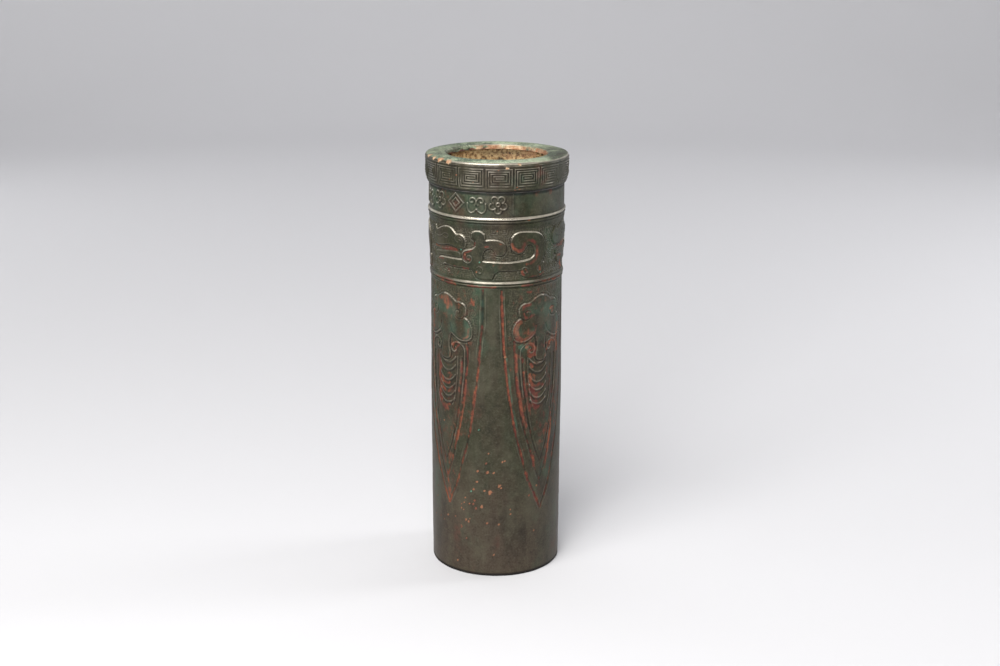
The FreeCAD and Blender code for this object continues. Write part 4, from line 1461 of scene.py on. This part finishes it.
    def build(self, finish: bpy.types.Material) -> None:
        """Makes the panels, one for each dragon.

        Args:
            finish: The wall's material.
        """
        turn = FULL_TURN / self.count
        columns = rows_between(self.first, self.first + turn, self.step / ARC)
        levels = rows_between(self.low, self.high, self.step)
        template = Relief(columns, levels)
        self.pattern(template)
        for number in range(self.count):
            relief = Relief(columns + turn * number, levels)
            places = places_of(WALL.radius(relief.z), relief.deg, relief.z)
            wear = 0.92 + 0.22 * noise(places, 11.0, 63)
            inset = plateau(relief.z, (self.low, self.low + 4.0), (169.0, self.high))
            relief.height = template.height * wear - 0.3 * inset
            uneven = 1.0 + 0.3 * noise(places, 8.0, 64) + 0.5 * noise(places, 1.3, 65)
            relief.red = np.clip(template.red * uneven, 0.0, 1.0)
            relief.ground = template.ground.copy()
            # Less wear and painted highlight near the frieze's lower edge, and on the sides turned from the
            # light, 44 to 100 and -66 to -115 degrees.
            relief.wear_highlight_share = template.wear_highlight_share * (0.3 + 0.7 * smooth_step(relief.z, self.low + 0.8, self.low + 2.4))
            relief.wear_highlight_share *= 1.0 - 0.65 * plateau(relief.deg, (44.0, 58.0), (80.0, 100.0))
            relief.wear_highlight_share *= 1.0 - 0.5 * plateau(-relief.deg, (66.0, 72.0), (95.0, 115.0))
            for degrees, level in self.rust_dots:
                relief.spot = np.maximum(relief.spot, blister(relief, degrees, level, 0.4))
            for degrees, level in self.salt_dots:
                relief.teal = np.maximum(relief.teal, 0.6 * blister(relief, degrees, level, 0.32))
            wall_piece(f"dragon_panel_{number + 1}", relief, finish, wear_highlight_weights=(0.38, 0.6))


@dataclass
class NeckBand:
    """The smooth neck, with a run of small cast flowers, clouds and lozenges on its left half."""

    low: float = 175.7
    high: float = 186.4
    middle: float = 181.2
    places: tuple[float, ...] = (1.0, -17.0, -36.0, -55.0, -73.0, -91.0)
    panel_lines: tuple[float, float] = (13.5, -101.5)
    panel_fades: tuple[tuple[float, float], tuple[float, float]] = ((-101.0, -99.0), (12.0, 14.0))
    rise: float = 0.42
    half_width: float = 0.46

    def flower(self, relief: Relief, centre: float) -> None:
        """Draws a flower of five round petals.

        Args:
            relief: The patch to draw on.
            centre: Where its middle lies round the wall, in degrees.
        """
        turns = np.radians(np.linspace(0.0, FULL_TURN, 91))
        for reach in (2.2 + 1.9 * np.abs(np.sin(2.5 * turns)) ** 0.7, np.full_like(turns, 0.8)):
            loop = np.stack([centre * ARC + reach * np.sin(turns), self.middle + reach * np.cos(turns)], -1)
            relief.ridge(loop, self.rise, self.half_width)

    def cloud(self, relief: Relief, centre: float) -> None:
        """Draws a cloud of two curls over a lobed base.

        Args:
            relief: The patch to draw on.
            centre: Where its middle lies round the wall, in degrees.
        """
        for sign in (-1.0, 1.0):
            turns = np.linspace(-0.3 * math.pi, 1.6 * math.pi, 30)
            reach = np.linspace(2.2, 0.5, 30)
            along = centre * ARC + sign * (2.1 - reach * np.cos(turns))
            up = self.middle + 1.3 + reach * np.sin(turns)
            relief.ridge(np.stack([along, up], -1), self.rise, self.half_width)
        base = [(-7.8, 0.2), (-7.6, -2.4), (-5.0, -4.0), (-2.0, -3.4), (0, -2.4), (2.0, -3.4), (5.0, -4.0),
                (7.6, -2.4), (7.8, 0.2)]
        relief.ridge(line_of([(centre + d, self.middle + z) for d, z in base]), self.rise, self.half_width)

    def lozenge(self, relief: Relief, centre: float) -> None:
        """Draws one lozenge in another.

        Args:
            relief: The patch to draw on.
            centre: Where its middle lies round the wall, in degrees.
        """
        for wide, tall in ((7.6, 4.2), (3.6, 2.0)):
            corners = [(0, tall), (wide, 0), (0, -tall), (-wide, 0), (0, tall)]
            line = straight_line([(centre + d, self.middle + z) for d, z in corners])
            relief.ridge(line, self.rise, self.half_width)

    def build(self, finish: bpy.types.Material) -> None:
        """Makes the piece.

        Args:
            finish: The wall's material.
        """
        relief = Relief(around(0.25), rows_between(self.low, self.high, 0.22), wrap=True)
        for number, centre in enumerate(self.places):
            (self.flower, self.cloud, self.lozenge)[number % 3](relief, centre)
        for turn in self.panel_lines:
            relief.ridge(straight_line([(turn, self.low + 0.6), (turn, self.high - 0.5)]), 0.1, 0.26)
        panel = plateau(relief.deg, *self.panel_fades)
        relief.ground = 0.35 * panel
        places = places_of(np.full_like(relief.z, RELIEF_RADIUS), relief.deg, relief.z)
        relief.red = 0.4 * np.clip(0.2 + 1.3 * noise(places, 4.2, 57), 0.0, 1.0)
        relief.teal = 0.022 * np.clip(0.2 + 1.2 * noise(places, 3.0, 58), 0.0, 1.0)
        edge = plateau(relief.z, (self.low, self.low + 0.5), (self.high - 0.5, self.high))
        relief.height = (relief.height - 0.05 * panel) * edge
        # Painted shadow under the collar: the top of the neck turns dark.
        relief.painted_shadow = smooth_step(relief.z + 0.25 * noise(places, 2.0, 55), 184.9, 185.7)
        wall_piece("neck_band", relief, finish, wear_highlight_weights=(0.38, 0.58))


@dataclass
class InnerWall:
    """The rough inside of the casting, and the spigot that the collar sleeves over."""

    bore: float = 27.0
    foot: float = 8.0
    seen: float = 168.0
    top: float = 197.0
    shoulder: float = 186.4
    spigot: float = 29.9
    crust: float = 0.3
    crust_levels: tuple[float, float] = (180.0, 192.0)
    # Levels and strengths of the painted shadow under the lip.
    lip_shadow_levels: tuple[float, ...] = (192.5, 194.4, 195.3, 196.3)
    lip_shadow_shares: tuple[float, ...] = (0.4, 0.62, 0.72, 0.35)

    def build(self, finish: bpy.types.Material) -> None:
        """Makes the piece.

        Args:
            finish: The crust's material.
        """
        degrees = around(0.42, self.bore)
        up = [(BACK_RADIUS, self.foot), (BACK_RADIUS, self.shoulder),
              (self.spigot, self.shoulder), (self.spigot, self.top)]
        hidden = rows_between(self.foot, self.seen, 2.2)
        down = np.concatenate([hidden[:-1], rows_between(self.seen, self.top, 0.42)])[::-1]
        radii = np.concatenate([[r for r, _ in up], np.full(len(down), self.bore)])
        levels = np.concatenate([[z for _, z in up], down])
        deg, z = np.meshgrid(degrees, levels)
        radius = radii[:, None] + np.zeros_like(deg)
        places = places_of(radius, deg, z)
        rough = 0.28 * noise(places, 2.6, 71) + 0.16 * noise(places, 1.1, 72) + 0.3 * noise(places, 9.0, 73)
        inner = (np.arange(len(levels)) >= len(up)).astype(float)[:, None]
        ends = plateau(z, (self.foot, self.foot + 2.0), (self.top - 0.6, self.top))
        crust = self.crust * smooth_step(z, *self.crust_levels) * inner
        radius = radius + np.maximum(rough, -0.35) * inner * ends - crust
        turn = deg % FULL_TURN
        # Painted shadow of the lip on the back of the inside, where it shows through the mouth; the rough
        # mark adds dark pits.
        painted_lip_shadow = (0.5 + 0.5 * smooth_step(turn, 130.0, 160.0)) * (1.0 - smooth_step(turn, 188.0, 222.0))
        painted_lip_shadow *= np.interp(z + 0.8 * rough, self.lip_shadow_levels, self.lip_shadow_shares)
        hollow = 0.6 * np.clip(rough / 0.4 - 0.35, 0.0, 1.0) * inner + painted_lip_shadow * (z > 160.0)
        piece = loft("inner_wall", places_of(radius, deg, z), {Mark.PAINTED_SHADE_AND_PITS: hollow}, True)
        settle(piece, finish, *WALL_NODE)


# The mouth collar


def rounded_path(corners: Sequence[tuple[float, float, float, float]]) -> np.ndarray:
    """Samples a section with rounded corners.

    Args:
        corners: Radius, level, rounding and the step of the run that follows, for each corner.

    Returns:
        The section's points, closed but with no point twice.
    """
    count = len(corners)
    ends = []
    for i, (x, z, rounding, _) in enumerate(corners):
        here = np.array([x, z])
        before = np.array(corners[i - 1][:2]) - here
        after = np.array(corners[(i + 1) % count][:2]) - here
        before, after = before / np.linalg.norm(before), after / np.linalg.norm(after)
        if rounding == 0.0:
            ends.append((here, here, [here]))
            continue
        half = math.acos(float(np.clip(before @ after, -1.0, 1.0))) / 2.0
        cut = rounding / math.tan(half)
        middle = here + (before + after) / np.linalg.norm(before + after) * rounding / math.sin(half)
        start, stop = here + before * cut, here + after * cut
        steps = np.linspace(0.0, 1.0, max(4, int(rounding * (math.pi - 2 * half) / 0.22)))
        arc = []
        for share in steps:
            way = start * (1 - share) + stop * share - middle
            arc.append(middle + way / np.linalg.norm(way) * rounding)
        ends.append((start, stop, arc))
    path = []
    for i in range(count):
        path.extend(ends[i][2])
        run_from, run_to = ends[i][1], ends[(i + 1) % count][0]
        length = float(np.linalg.norm(run_to - run_from))
        parts = max(1, round(length / corners[i][3]))
        path.extend(run_from + (run_to - run_from) * k / parts for k in range(1, parts))
    return np.array(path)


@dataclass
class MouthCollar:
    """The thick collar: a key-fret band outside and a broad lip that turns in over the wall."""

    units: int = 16
    per_unit: int = 52
    first_unit: float = 2.0
    fret_low: float = 187.2
    fret_high: float = 199.6
    border_levels: tuple[float, float] = (188.35, 199.0)
    section: tuple[tuple[float, float, float, float], ...] = (
        (29.95, 186.9, 0.0, 0.8), (32.4, 186.9, 0.8, 0.2), (33.2, 191.5, 0.0, 0.2), (33.2, 200.3, 1.25, 0.4),
        (28.5, 200.7, 0.0, 0.4), (23.5, 200.4, 0.9, 0.4), (23.5, 197.4, 0.0, 0.6), (26.0, 197.0, 0.0, 1.3),
        (29.95, 197.0, 0.0, 3.4),
    )
    spiral: Points = (
        (-2.4, 193.3), (3.4, 193.3), (3.4, 194.4), (-4.4, 194.4), (-4.4, 192.1), (5.6, 192.1), (5.6, 195.5),
        (-6.4, 195.5), (-6.4, 190.9), (7.7, 190.9), (7.7, 196.6), (-8.4, 196.6), (-8.4, 189.7), (9.7, 189.7),
        (9.7, 197.7), (-10.3, 197.7), (-10.3, 188.9),
    )
    chips: tuple[Dot, ...] = (
        (-71.3, 200.5, 2.0), (-60.6, 200.1, 1.45), (-51.4, 200.3, 2.1), (-40.9, 199.9, 1.7),
        (1.2, 197.5, 0.5), (8.0, 198.3, 0.95), (17.2, 199.7, 1.0), (-33.1, 194.1, 0.6), (-39.9, 191.8, 0.5),
        (-18.6, 191.6, 0.45), (16.0, 189.3, 0.6), (14.7, 188.1, 0.65), (17.9, 188.3, 0.45),
        (140, 199.6, 0.9), (95, 190, 0.6), (-120, 198, 0.8),
    )

    def fret(self, columns: int, levels: np.ndarray) -> np.ndarray:
        """Heights of the key fret over one unit.

        Args:
            columns: How many columns one unit has.
            levels: The rows' levels, rising.

        Returns:
            The heights in millimetres.
        """
        half = FULL_TURN / self.units / 2.0
        tile = Relief(np.linspace(-half, half, columns, endpoint=False), levels)
        away = tile.distance(straight_line(self.spiral), 0.9)
        for side in (-1.0, 1.0):
            copy = straight_line([(d + side * 2 * half, z) for d, z in self.spiral])
            away = np.minimum(away, tile.distance(copy, 0.9))
        tile.height = 0.3 * (1.0 - smooth_step(away, 0.04, 0.5))
        for level in self.border_levels:
            near = 1.0 - smooth_step(np.abs(tile.z - level), 0.05, 0.45)
            tile.height = np.maximum(tile.height, 0.2 * near)
        return tile.height

    def fret_band(self, path: np.ndarray, rows: np.ndarray, places: np.ndarray) -> np.ndarray:
        """Relief of the key-fret band over the whole collar.

        Args:
            path: The section's points.
            rows: The rows of the section that carry the fret.
            places: The places on the collar.

        Returns:
            The heights in millimetres.
        """
        relief = np.zeros(places.shape[:-1])
        relief[rows] = np.tile(self.fret(self.per_unit, path[rows, 1]), (1, self.units))
        relief = np.roll(relief, self.per_unit // 2, axis=1)
        wear = np.clip(0.78 + 0.55 * noise(places, 7.0, 81) + 0.45 * noise(places, 2.2, 82), 0.12, 1.2)
        low, high = self.fret_low, self.fret_high
        return relief * wear * plateau(path[:, 1:], (low, low + 0.8), (high - 0.4, high))

    def chipped(self, places: np.ndarray) -> np.ndarray:
        """Where chips in the patina show orange rust.

        Args:
            places: The places on the collar.

        Returns:
            The share at each place, from 0 to 1.
        """
        spot = np.zeros(places.shape[:-1])
        ragged = 1.0 + 0.4 * noise(places, 0.7, 86)
        for turn, height, size in self.chips:
            radius = 32.7 if height > 199.0 else 33.0
            centre = places_of(np.array(radius), np.array(turn), np.array(height))
            gap = np.linalg.norm((places - centre) * (1.0, 1.0, 1.5), axis=-1) * ragged
            spot = np.maximum(spot, 1.0 - smooth_step(gap, size * 0.5, size * 1.1))
        return spot

    def painted_lip_light_and_blotches(self, deg: np.ndarray, places: np.ndarray) -> np.ndarray:
        """How pale the lip is round the mouth: its pale patina, with painted light at the front, painted
        shade on the right and left, and random blotches.

        Args:
            deg: Degrees round the collar.
            places: The places on the collar.

        Returns:
            The share at each place.
        """
        shaded = plateau(deg, (35.0, 65.0), (110.0, 140.0))
        lit = 0.8 + 0.22 * smooth_step(-np.abs(deg), -60.0, -20.0) - 0.5 * shaded
        lit -= 0.2 * plateau(-deg, (45.0, 75.0), (120.0, 150.0))
        return lit + (0.3 * noise(places, 3.2, 89) + 0.2 * noise(places, 1.3, 90))

    def painted_edge_highlights(self, deg: np.ndarray, level: np.ndarray, radius: np.ndarray,
                     upward: np.ndarray) -> np.ndarray:
        """Painted highlights along the lip's two edges where they face up: the outer edge in front, the
        inner edge at the back.

        Args:
            deg: Degrees round the collar.
            level: Levels in millimetres.
            radius: Radii in millimetres.
            upward: How far each row faces up.

        Returns:
            The share at each place, from 0 to 1.
        """
        tipped = plateau(upward, (0.22, 0.55), (0.84, 0.97))
        edges = tipped * smooth_step(level, 199.0, 199.4) * smooth_step(np.abs(radius - 28.0), 3.4, 3.9)
        outer = 1.0 - 0.88 * plateau(-deg, (28.0, 48.0), (100.0, 130.0))
        outer -= 0.6 * plateau(deg, (22.0, 42.0), (100.0, 130.0))
        inner = 0.25 + 0.75 * smooth_step(np.abs(deg), 145.0, 165.0)
        return edges * np.where(radius > 28.0, outer, inner)

    def build(self, finish: bpy.types.Material) -> None:
        """Makes the piece.

        Args:
            finish: The collar's material.
        """
        path = rounded_path(self.section)
        along = np.roll(path, -1, 0) - np.roll(path, 1, 0)
        normals = np.stack([along[:, 1], -along[:, 0]], -1)
        normals /= np.linalg.norm(normals, axis=1)[:, None]
        count = self.per_unit * self.units
        degrees = self.first_unit + (np.arange(count) - count / 2.0) * FULL_TURN / count
        deg, level = np.meshgrid(degrees, path[:, 1])
        radius = np.broadcast_to(path[:, :1], deg.shape)
        places = places_of(radius, deg, level)

        outside = (path[:, 0] > 32.0) & (normals[:, 0] > 0.7)
        rows = np.flatnonzero(outside & (path[:, 1] > self.fret_low) & (path[:, 1] < self.fret_high))
        relief = self.fret_band(path, rows, places)
        shown = (normals[:, :1] > 0.0) | (path[:, 1:] > 197.4)
        skin = cast_skin(places, 1.25) * shown
        lip = smooth_step(level, 199.9, 200.3) * smooth_step(radius, 23.4, 24.6)
        pits = 0.05 * np.clip(noise(places, 2.0, 84) - 0.3, 0.0, 1.0)
        moved = relief + skin + lip * (0.08 * noise(places, 4.0, 83) - pits)

        marks = {}
        shallow = standing_marks(relief[rows], path[rows, 1], True, (0.42, 0.1), scale=0.09)
        for mark, values in shallow.items():
            marks[mark] = np.zeros_like(deg)
            marks[mark][rows] = values
        inner = smooth_step(-radius, -24.6, -23.7) * smooth_step(level, 197.2, 197.6)
        band = inner * (1.0 - smooth_step(level, 199.7, 200.2))
        spot = self.chipped(places)
        # The lip's pale patina, with painted light at the front and painted shade at the sides.
        pale = np.clip(np.maximum(lip, inner * 0.9) * self.painted_lip_light_and_blotches(deg, places), 0.0, 1.0)
        marks[Mark.LIP] = np.where(spot > 0.3, 0.55 * (level > 198.0), pale)
        # Half the fret's wear and painted highlight on the left side, from -50 to -130 degrees; the lip's
        # edges get painted highlights.
        side = plateau(-deg, (50.0, 70.0), (110.0, 130.0))
        edges = self.painted_edge_highlights(deg, level, radius, normals[:, 1:])
        marks[Mark.WEAR_AND_HIGHLIGHT] = np.maximum(marks[Mark.WEAR_AND_HIGHLIGHT] * (1.0 - 0.5 * side), edges)
        clean = plateau(-deg, (75.0, 95.0), (145.0, 165.0))
        patchy = noise(places, 3.0, 85) + 0.5 * noise(places, 1.1, 87) - 0.9 * clean
        marks[Mark.SPOT] = np.maximum(spot, 0.85 * (band * smooth_step(patchy, -0.7, 0.3)))
        # Painted shade along the lower edge of the inner band, broken up by noise, and on the collar's lower
        # edge.
        painted_undercut_shade = 0.75 * band * smooth_step(-level + 0.8 * noise(places, 1.5, 96), -198.5, -197.9)
        below = 1.0 - smooth_step(level, self.fret_low, 187.9)
        marks[Mark.PAINTED_SHADE_AND_PITS] = np.maximum(np.maximum(marks[Mark.PAINTED_SHADE_AND_PITS], below), painted_undercut_shade)
        marks[Mark.RED] = band * smooth_step(-level + 0.7 * noise(places, 2.4, 88), -198.6, -197.9)

        settled = 0.3 * np.cos(np.radians(deg)) * smooth_step(level, 198.6, 200.0)
        settled -= 0.4 * smooth_step(level, 191.0, 200.0)
        radius_moved = radius + moved * normals[:, :1]
        level_moved = level + moved * normals[:, 1:] + settled * shown
        piece = loft("fret_collar", places_of(radius_moved, deg, level_moved), marks, True)
        settle(piece, finish, "mouth_collar", "patinated_bronze_collar")


# Base and solder


@dataclass
class BaseDisc:
    """The cast disc let into the foot, with the two solder runs."""

    radius: float = 28.3
    bottom: float = 5.0
    top: float = 8.0
    base_section: Points = ((28.3, 3.4), (28.35, 5.0), (26.75, 5.0), (27.4, 4.35))
    collar_section: Points = ((31.5, 186.4), (31.5, 186.9), (29.95, 186.9), (29.95, 186.4))

    def build(self, finish: bpy.types.Material, solder: bpy.types.Material,
              seam: bpy.types.Material) -> None:
        """Makes the disc and both solder runs.

        Args:
            finish: Material of the disc.
            solder: Material of the run under the disc.
            seam: Material of the run under the collar, darkened as painted shade.
        """
        reach = np.concatenate([[0.4], rows_between(1.2, self.radius - 0.4, 0.7), [self.radius]])
        radii = np.concatenate([reach, reach[::-1]])
        levels = np.concatenate([np.full(len(reach), self.bottom), np.full(len(reach), self.top)])
        levels[len(reach)] = self.top - 0.4
        degrees = around(0.7, self.radius)
        deg, z = np.meshgrid(degrees, levels)
        radius = radii[:, None] + np.zeros_like(deg)
        places = places_of(radius, deg, z)
        rough = 0.16 * noise(places, 5.0, 91) + 0.1 * noise(places, 1.8, 92)
        rings = 0.05 * np.cos(radius * 2.0 * math.pi / 5.2) * (z < 6.0)
        away = 1.0 - smooth_step(radius, self.radius - 2.4, self.radius - 1.6)
        height = (rough + rings) * away
        side = np.where(z < 6.5, 1.0, -1.0)
        lifted = z + side * np.abs(height) * 0.5 + height * 0.3 * away
        # Low spots of the disc are darker, high spots paler.
        marks = {
            Mark.PAINTED_SHADE_AND_PITS: np.clip(-height / 0.2, 0.0, 1.0),
            Mark.WEAR_AND_HIGHLIGHT: np.clip(height / 0.3, 0.0, 1.0) * 0.5,
            Mark.RED: 0.25 * np.clip(noise(places, 7.0, 93), 0.0, 1.0),
        }
        disc = loft("base_disc", places_of(radius, deg, lifted), marks, True)
        settle(disc, finish, "base_plate", "patinated_bronze_base")
        self.solder_run("base_solder_run", "base_solder", "base_seam_solder", solder,
                        self.base_section, 0.16)
        self.solder_run("collar_solder_run", "collar_solder", "collar_seam_solder", seam,
                        self.collar_section, 0.05)

    def solder_run(self, name: str, node: str, slot: str, solder: bpy.types.Material,
                   section: Points, amount: float) -> None:
        """Makes a run of solder from its section.

        Args:
            name: The piece's name.
            node: The CAD node that it stands for.
            slot: The record's material slot.
            solder: Its material.
            section: Corners as radius and level, outer side first and rising.
            amount: How uneven it is, in millimetres.
        """
        path = rounded_path([(r, z, 0.0, 0.3) for r, z in section])
        deg, z = np.meshgrid(around(0.5, 28.0), path[:, 1])
        radius = path[:, :1] + np.zeros_like(deg)
        places = places_of(radius, deg, z)
        middle = path.mean(0)
        lump = amount * noise(places, 2.2, 95)
        radius = radius - np.abs(lump) * np.sign(radius - middle[0]) * 0.6
        z = z - np.abs(lump) * np.sign(z - middle[1]) * 0.3
        piece = loft(name, places_of(radius, deg, z), {}, True)
        settle(piece, solder, node, slot)


# Studio


@dataclass
class Studio:
    """Pale floor, soft lights and the camera."""

    warm: tuple[float, float, float] = (1.0, 0.985, 0.955)
    flat: float = 1.3
    sweep: float = 0.7
    camera_place: tuple[float, float, float] = (0.0008, -0.7132, 0.3191)
    camera_pitch: float = 16.15
    camera_roll: float = -0.26
    lens: float = 55.85

    def light(self, name: str, place: Sequence[float], aim: Sequence[float], size: tuple[float, float],
              watts: float, colour: Sequence[float] = (1.0, 1.0, 1.0)) -> None:
        """Hangs one soft light.

        Args:
            name: Its name.
            place: Where it hangs.
            aim: The point that it faces.
            size: Its width and height in metres.
            watts: Its power.
            colour: Its colour.
        """
        data = bpy.data.lights.new(name, "AREA")
        data.shape = "RECTANGLE"
        data.size, data.size_y = size
        data.energy = watts
        data.color = colour
        lamp = bpy.data.objects.new(name, data)
        lamp.location = place
        lamp.rotation_euler = (Vector(aim) - Vector(place)).to_track_quat("-Z", "Y").to_euler()
        bpy.context.scene.collection.objects.link(lamp)

    def floor(self) -> None:
        """Lays a round pale floor that sweeps up on every side into a backdrop."""
        bend = [
            (self.flat + self.sweep * math.sin(a), self.sweep - self.sweep * math.cos(a))
            for a in np.linspace(0.1, math.pi / 2, 16)
        ]
        line = [(0.02, 0.0), (0.4, 0.0), (0.8, 0.0), (self.flat, 0.0), *bend, (2.0, 1.4), (2.0, 2.4)]
        turns = np.radians(np.arange(0.0, FULL_TURN, 4.0))
        places = [(r * math.cos(t), r * math.sin(t), z) for r, z in line for t in turns]
        count = len(turns)
        faces = []
        for low in range(0, (len(line) - 1) * count, count):
            for c in range(count):
                after = (c + 1) % count
                faces.append((low + c, low + count + c, low + count + after, low + after))
        faces.append(tuple(range(count)))
        mesh = bpy.data.meshes.new("studio_floor")
        mesh.from_pydata(places, [], faces)
        mesh.polygons.foreach_set("use_smooth", [True] * len(faces))
        mesh.materials.append(plain_finish("studio_paper", (0.638, 0.638, 0.66, 1.0), 0.75))
        floor = bpy.data.objects.new("studio_floor", mesh)
        bpy.context.scene.collection.objects.link(floor)

    def build(self) -> None:
        """Sets up the floor, lights, world and camera."""
        self.floor()
        aim = (0.0, 0.0, 0.1)
        self.light("key_box", (-0.32, -0.66, 0.86), (0.0, 0.0, 0.12), (0.8, 0.7), 13.0, self.warm)
        self.light("low_box", (-0.22, -0.95, 0.46), (0.0, 0.0, 0.17), (0.5, 0.3), 8.5, self.warm)
        self.light("right_box", (1.05, 0.28, 0.42), aim, (0.3, 0.8), 6.0)
        self.light("far_left_box", (-0.9, 0.75, 0.5), aim, (0.6, 0.6), 2.0)
        self.light("far_right_box", (0.9, 0.85, 0.6), aim, (0.6, 0.6), 1.8)
        self.light("back_box", (0.0, 1.0, 1.5), (0.0, 1.6, 0.3), (1.6, 0.6), 8.0)
        world = bpy.data.worlds.new("studio_air")
        world.use_nodes = True
        air = world.node_tree.nodes["Background"].inputs
        air["Color"].default_value = (0.8, 0.82, 0.86, 1.0)
        air["Strength"].default_value = 0.05
        bpy.context.scene.world = world
        data = bpy.data.cameras.new("studio_camera")
        data.lens, data.sensor_width = self.lens, 36.0
        data.clip_start, data.clip_end = 0.01, 20.0
        camera = bpy.data.objects.new("studio_camera", data)
        camera.location = self.camera_place
        camera.rotation_euler = (math.radians(90.0 - self.camera_pitch), math.radians(self.camera_roll), 0.0)
        bpy.context.scene.collection.objects.link(camera)
        bpy.context.scene.camera = camera
        bpy.context.scene.view_settings.view_transform = "Standard"


def main() -> None:
    """Builds the dressed vase and the studio."""
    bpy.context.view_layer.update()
    wall = Patina("wall_patina").make()
    collar = Patina("collar_patina", brown_share=0.56).make()
    base = Patina("base_patina", brown_share=0.75, gloss=0.6, bump=0.9).make()
    LowerBody().build(wall)
    HangingBlades().build(wall)
    BeadedFillet("lower_fillet", 142.0, 146.0, 30.925, (
        (-66.0, -39.6, 144.5), (-54.0, -37.0, 143.0), (-25.5, -1.0, 143.0), (22.0, 32.5, 143.2),
        (33.5, 42.0, 144.5), (44.5, 52.0, 144.2), (56.0, 72.0, 143.9), (105.0, 150.0, 144.4),
        (-160.0, -110.0, 143.2),
    ), front_highlight=0.46, side_highlight=0.14).build(wall)
    DragonFrieze().build(wall)
    BeadedFillet("upper_fillet", 171.7, 175.7, 31.6, (
        (27.0, 28.0, 174.0), (130.0, 160.0, 173.8),
    )).build(wall)
    NeckBand().build(wall)
    InnerWall().build(EarthyCrust("inner_crust").make())
    MouthCollar().build(collar)
    # The run under the collar gets far darker colours: painted shade where the collar's shadow falls.
    seam = TarnishedSolder("collar_seam", (0.05, 0.045, 0.038, 1.0), (0.016, 0.014, 0.012, 1.0), 0.0).make()
    BaseDisc().build(base, TarnishedSolder("base_seam").make(), seam)
    Studio().build()


if __name__ == "__main__":
    logging.basicConfig(level=logging.INFO, format="%(message)s")
    main()
